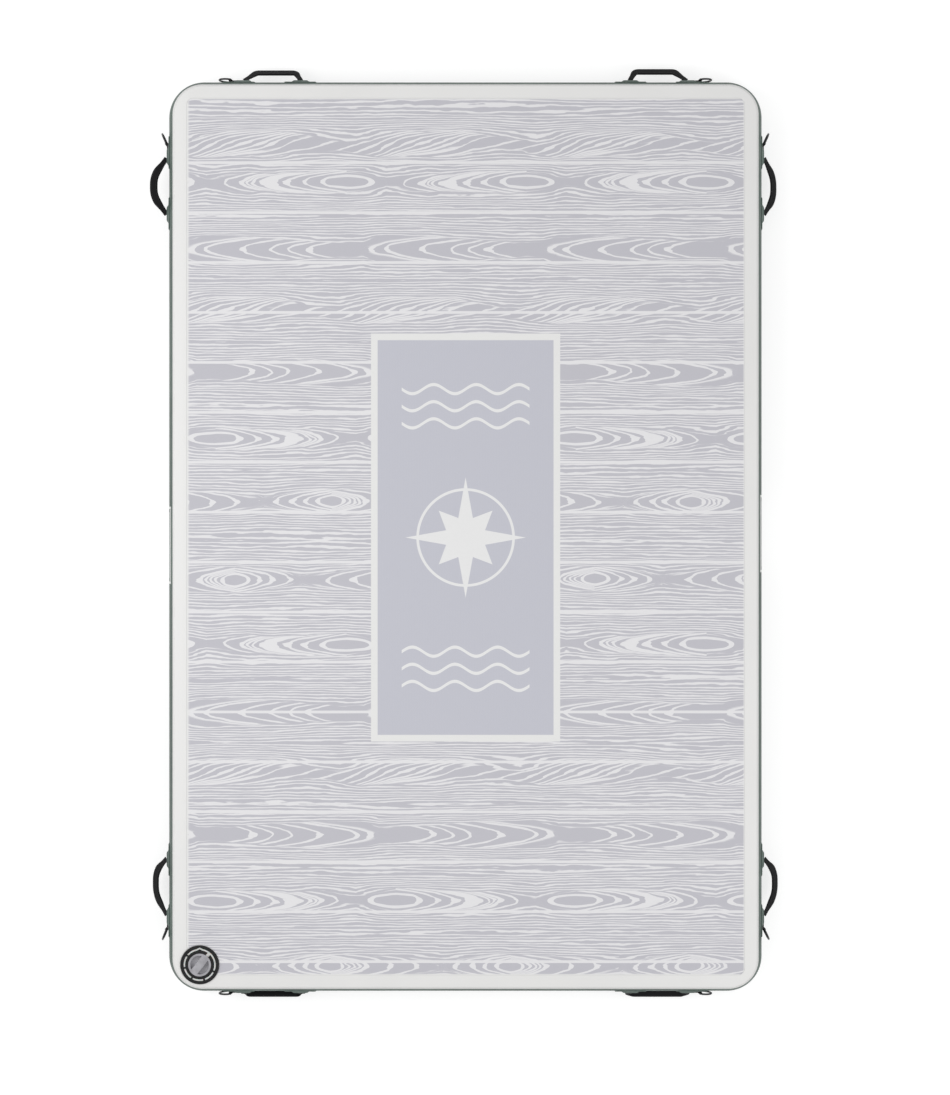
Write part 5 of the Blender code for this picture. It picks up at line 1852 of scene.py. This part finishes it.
def spider():
    """The poppet's hub on its arms, with the stem's bore and a slot for the lock lugs."""
    middle = VALVE - Vector((0.0, 0.0, HUB_TOP + HUB_HEIGHT / 2))
    arms = [
        spoke(math.pi / 2 + math.tau * arm / ARMS, *ARM_SPAN, *ARM_HEIGHTS, ARM_WIDTH)
        for arm in range(ARMS)
    ]
    hub = cylinder("hub", SPIDER_HUB, HUB_STEPS, HUB_HEIGHT, middle)
    hub = combined(hub, arms, "UNION")
    bore = cylinder("bore", STEM_BORE, HUB_STEPS, CUT_LENGTH, middle)
    slot = spoke(0.0, -LUG_SLOT_REACH, LUG_SLOT_REACH, *LUG_SLOT_HEIGHTS, LUG_SLOT_WIDTH)
    return combined(hub, [bore, slot], "DIFFERENCE")


def leash_tabs(material):
    """The tabs over the groove, which hold the leash's ring down."""
    tab = as_mesh("tab", box_form(Matrix.Translation(TAB_PLACE), TAB_SIZE))
    tab = bevelled(tab, 0.0003)
    return tab_ring().grow(
        "leash_tabs", tab, Tabs=TABS, First=FIRST_TAB, Pitch=TAB_PITCH, Centre=VALVE,
        Material=material)


def finger_pocket(half, side):
    """The D-shaped room on one side of the cap's grip bar."""
    reach = math.acos(half / POCKET_RADIUS)
    outline = []
    for step in range(POCKET_STEPS + 1):
        angle = -reach + 2 * reach * step / POCKET_STEPS
        outline.append(
            Vector((POCKET_RADIUS * math.cos(angle), POCKET_RADIUS * math.sin(angle))))
    outline = softened(outline, 0.0022, 4)
    turn = Matrix.Rotation(GRIP_ANGLE + side * math.pi / 2, 4, "Z")
    place = Matrix.Translation(VALVE) @ turn
    middle = Vector(((half + POCKET_RADIUS) / 2, 0.0))
    rings = []
    for inset, height in POCKET_RINGS:
        ring = []
        for point in outline:
            off = point - middle
            point = middle + off * (1 - inset / max(off.length, inset + MERGE))
            ring.append(place @ Vector((point.x, point.y, height)))
        rings.append(ring)
    return skinned("pocket", rings)


class DOCK_OT_valve(bpy.types.Operator):
    """The inflation valve: body, tabs, leash, cap and the poppet's spring"""

    bl_idname = "dock.valve"
    bl_label = "Valve"

    def execute(self, context):
        look = context.scene.dock_valve
        black = moulded("black_nylon", (0.011, 0.011, 0.012), 0.42, gloss=0.26)
        grey = moulded("grey_nylon", look.cap, 0.50, 0.00007, 0.14)
        self.body(look.turn_steps, black)
        self.leash(look.turn_steps, leash_rubber())
        self.cap(look.turn_steps, grey, look.grip_width)
        self.spring(spring_wire())
        rubber = moulded("seal_rubber", (0.018, 0.018, 0.018), 0.75)
        for node in ("valve_gasket", "cap_gasket", "poppet_seal"):
            dress(node, rubber)
        dress("valve_nut", black)
        dress("poppet", moulded("yellow_nylon", (0.72, 0.50, 0.05)))
        dress("drop_stitch_cloth", woven_cloth())
        return {"FINISHED"}

    def body(self, steps, black):
        """Rim, groove, collar and barrel in one turn, then the spider and the tabs."""
        bore = CAP_RADIUS + 0.0005
        profile = softened([
            (BARREL_BORE, GROOVE_FLOOR), (bore, GROOVE_FLOOR), (bore, COLLAR_TOP),
            (COLLAR_RADIUS, COLLAR_TOP), (COLLAR_RADIUS, GROOVE_FLOOR),
            (GROOVE_RADIUS, GROOVE_FLOOR), (GROOVE_RADIUS, RIM_TOP),
            (RIM_RADIUS - 0.0004, RIM_TOP), (RIM_RADIUS, RIM_TOP - 0.0018),
            (RIM_RADIUS, VALVE_BASE), (BARREL_RADIUS, VALVE_BASE),
            (BARREL_RADIUS, -BARREL_LENGTH), (SEAT_RADIUS, -BARREL_LENGTH),
            (SEAT_RADIUS, SEAT_TOP), (WELL_RADIUS, SEAT_TOP),
            (WELL_RADIUS, WELL_TOP), (BARREL_BORE, WELL_TOP),
        ], 0.0007)
        name = "valve_body_moulding"
        notch = spoke(LEASH_ANGLE, *NOTCH_SPAN, GROOVE_FLOOR, CUT_TOP, NOTCH_WIDTH)
        mesh = combined(turned(name, profile, steps, peaked), [notch], "DIFFERENCE")
        mesh = joined(name, [mesh, spider(), leash_tabs(black)])
        add_piece(name, mesh, [black], "dock", ["valve_body"])

    def spring(self, bright):
        """An open coil with closed ends."""
        low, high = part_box("poppet_spring")
        length = high[2] - low[2]
        thick = 2 * SPRING_WIRE
        radius = (high[0] - low[0]) / 2 - SPRING_WIRE
        points = []
        for step in range(SPRING_TURNS * SPRING_STEPS + 1):
            turns = step / SPRING_STEPS
            height = np.interp(
                turns, (0.0, 1.0, SPRING_TURNS - 1.0, SPRING_TURNS),
                (0.0, thick, length - 2 * thick, length - thick))
            points.append((
                VALVE.x + radius * math.cos(math.tau * turns),
                VALVE.y + radius * math.sin(math.tau * turns),
                low[2] + SPRING_WIRE + height))
        coil = wire_sweep().grow(
            "poppet_coil", polyline("spring_path", points, closed=False),
            Wire=SPRING_WIRE, Sides=10, Material=bright)
        piece = add_piece(
            "poppet_coil", cleaned(coil), [bright], "dock",
            ["poppet_spring"], angle=WIRE_ANGLE)
        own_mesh(piece)

    def leash(self, steps, pale):
        """The ring in the groove, the eye round the cap and the strap between them."""
        outer = GROOVE_RADIUS - 0.0005
        inner = BARREL_BORE - 0.0003
        parts = []
        for name, first, last, reshape in (
            ("leash_ring", outer - LEASH_BAND, outer, peaked),
            ("leash_eye", inner, inner + EYE_BAND, None),
        ):
            profile = softened([
                (first, LEASH_HIGH), (last, LEASH_HIGH), (last, LEASH_LOW),
                (first, LEASH_LOW)], 0.0004)
            parts.append(turned(name, profile, steps, reshape))
        parts.append(bevelled(spoke(
            LEASH_ANGLE, inner + 0.0015, outer - 0.0015, LEASH_LOW + 0.0002,
            LEASH_HIGH - 0.0002, LEASH_STRAP), 0.0003))
        mesh = joined("cap_leash_moulding", parts)
        add_piece("cap_leash_moulding", mesh, [pale], "dock", ["cap_leash"])

    def cap(self, steps, grey, grip_width):
        """A turned cap, its centre closed, with two finger pockets cut into it."""
        under = LEASH_HIGH + GAP
        skirt = BARREL_BORE - 0.0008
        inside = skirt - SKIRT_THICKNESS
        profile = softened([
            (0.0, CAP_TOP), (CAP_RADIUS, CAP_TOP), (CAP_RADIUS, under), (skirt, under),
            (skirt, SKIRT_END), (inside, SKIRT_END), (inside, CAP_WEB), (0.0, CAP_WEB),
        ], 0.0010, closed=False)
        profile = [(max(radius, MERGE / 2), height) for radius, height in profile]
        name = "valve_cap_moulding"
        shape = bmesh.new()
        shape.from_mesh(turned(name, profile, steps, closed=False))
        rims = [edge for edge in shape.edges if edge.is_boundary]
        bmesh.ops.holes_fill(shape, edges=rims, sides=0)
        pockets = [finger_pocket(grip_width / 2, side) for side in (1, -1)]
        mesh = combined(as_mesh(name, shape), pockets, "DIFFERENCE")
        add_piece(name, bevelled(mesh, 0.0004), [grey], "cap", ["valve_cap"])


# The stage

class DOCK_OT_stage(bpy.types.Operator):
    """Pale floor, soft light and the camera over the deck"""

    bl_idname = "dock.stage"
    bl_label = "Stage"

    def execute(self, context):
        look = context.scene.dock_stage
        self.floor()
        self.sky(look)
        self.lamps()
        self.camera(look)
        context.scene.view_settings.view_transform = "Standard"
        return {"FINISHED"}

    def floor(self):
        """A pale floor that looks white and still takes the dock's shadow."""
        recipe = Recipe("stage_floor", FLOOR_GREY, 0.9)
        recipe.set(Specular_IOR_Level=0.0)
        rays = recipe.node("ShaderNodeLightPath").outputs
        seen = recipe.larger(rays["Is Camera Ray"], rays["Is Glossy Ray"])
        seen = recipe.larger(seen, rays["Is Transmission Ray"])
        glow = recipe.node("ShaderNodeEmission")
        recipe.feed(glow.inputs["Strength"], seen * FLOOR_GLOW)
        both = recipe.node("ShaderNodeAddShader")
        recipe.feed(both.inputs[0], recipe.shader.outputs[0])
        recipe.feed(both.inputs[1], glow.outputs[0])
        recipe.feed(recipe.tree.nodes["Material Output"].inputs["Surface"], both.outputs[0])
        shape = bmesh.new()
        bmesh.ops.create_grid(shape, x_segments=8, y_segments=8, size=FLOOR_HALF)
        mesh = plain_mesh("stage_floor", shape)
        mesh.materials.append(recipe.material)
        ground = linked("stage_floor", mesh)
        ground.location.z = -FLOOR_DROP

    def sky(self, look):
        """Even white light, and a white background for the camera."""
        world = bpy.data.worlds.new("studio")
        world.use_nodes = True
        tree = world.node_tree
        light = tree.nodes["Background"]
        white = tree.nodes.new("ShaderNodeBackground")
        for sky in (light, white):
            sky.inputs["Color"].default_value = (1.0, 1.0, 1.0, 1.0)
        light.inputs["Strength"].default_value = look.world
        rays = tree.nodes.new("ShaderNodeLightPath")
        pick = tree.nodes.new("ShaderNodeMixShader")
        tree.links.new(rays.outputs["Is Camera Ray"], pick.inputs["Fac"])
        tree.links.new(light.outputs[0], pick.inputs[1])
        tree.links.new(white.outputs[0], pick.inputs[2])
        tree.links.new(pick.outputs[0], tree.nodes["World Output"].inputs["Surface"])
        bpy.context.scene.world = world

    def lamps(self):
        """Two soft lamps over the dock's sides, aimed at its middle."""
        for name, place, size, power in LAMPS:
            data = bpy.data.lights.new(name, "AREA")
            data.shape = "DISK"
            data.size = size
            data.energy = power
            lamp = linked(name, data)
            lamp.location = place
            lamp.rotation_euler = (-Vector(place)).to_track_quat("-Z", "Y").to_euler()

    def camera(self, look):
        """Straight down, shifted to frame the dock as the photograph does."""
        data = bpy.data.cameras.new("camera")
        camera = linked("camera", data)
        camera.location = (-look.camera_left, 0.0, BODY_HEIGHT + look.camera_height)
        half_height = look.pixel * IMAGE_HEIGHT / 2
        data.lens = data.sensor_width / 2 * look.camera_height / half_height
        data.shift_x = (look.camera_left / look.pixel + FRAME_SHIFT[0]) / IMAGE_HEIGHT
        data.shift_y = FRAME_SHIFT[1] / IMAGE_HEIGHT
        data.clip_end = 100.0
        bpy.context.scene.camera = camera


class DOCK_PT_look(bpy.types.Panel):
    """The pieces of the dock's look"""

    bl_idname = "DOCK_PT_look"
    bl_label = "Dock"
    bl_space_type = "VIEW_3D"
    bl_region_type = "UI"
    bl_category = "Dock"

    def draw(self, context):
        layout = self.layout
        for operator, group in BUILD_ORDER:
            layout.operator(operator.bl_idname)
            if group:
                for field in getattr(context.scene, group).bl_rna.properties.keys():
                    if field not in ("rna_type", "name"):
                        layout.prop(getattr(context.scene, group), field)


BUILD_ORDER = (
    (DOCK_OT_chamber, "dock_shell"),
    (DOCK_OT_deck, "dock_print"),
    (DOCK_OT_patches, None),
    (DOCK_OT_handles, "dock_webbing"),
    (DOCK_OT_rings, None),
    (DOCK_OT_valve, "dock_valve"),
    (DOCK_OT_stage, "dock_stage"),
)
GROUPS = {
    "dock_shell": DockShell, "dock_print": DockPrint, "dock_webbing": DockWebbing,
    "dock_valve": DockValve, "dock_stage": DockStage,
}


def register():
    for group in GROUPS.values():
        bpy.utils.register_class(group)
    for name, group in GROUPS.items():
        setattr(bpy.types.Scene, name, PointerProperty(type=group))
    for operator, _ in BUILD_ORDER:
        bpy.utils.register_class(operator)
    bpy.utils.register_class(DOCK_PT_look)


def unregister():
    bpy.utils.unregister_class(DOCK_PT_look)
    for operator, _ in reversed(BUILD_ORDER):
        bpy.utils.unregister_class(operator)
    for name, group in reversed(GROUPS.items()):
        delattr(bpy.types.Scene, name)
        bpy.utils.unregister_class(group)


def main():
    """Build every piece in order."""
    register()
    for operator, _ in BUILD_ORDER:
        family, name = operator.bl_idname.split(".")
        getattr(getattr(bpy.ops, family), name)()


if __name__ == "__main__":
    main()
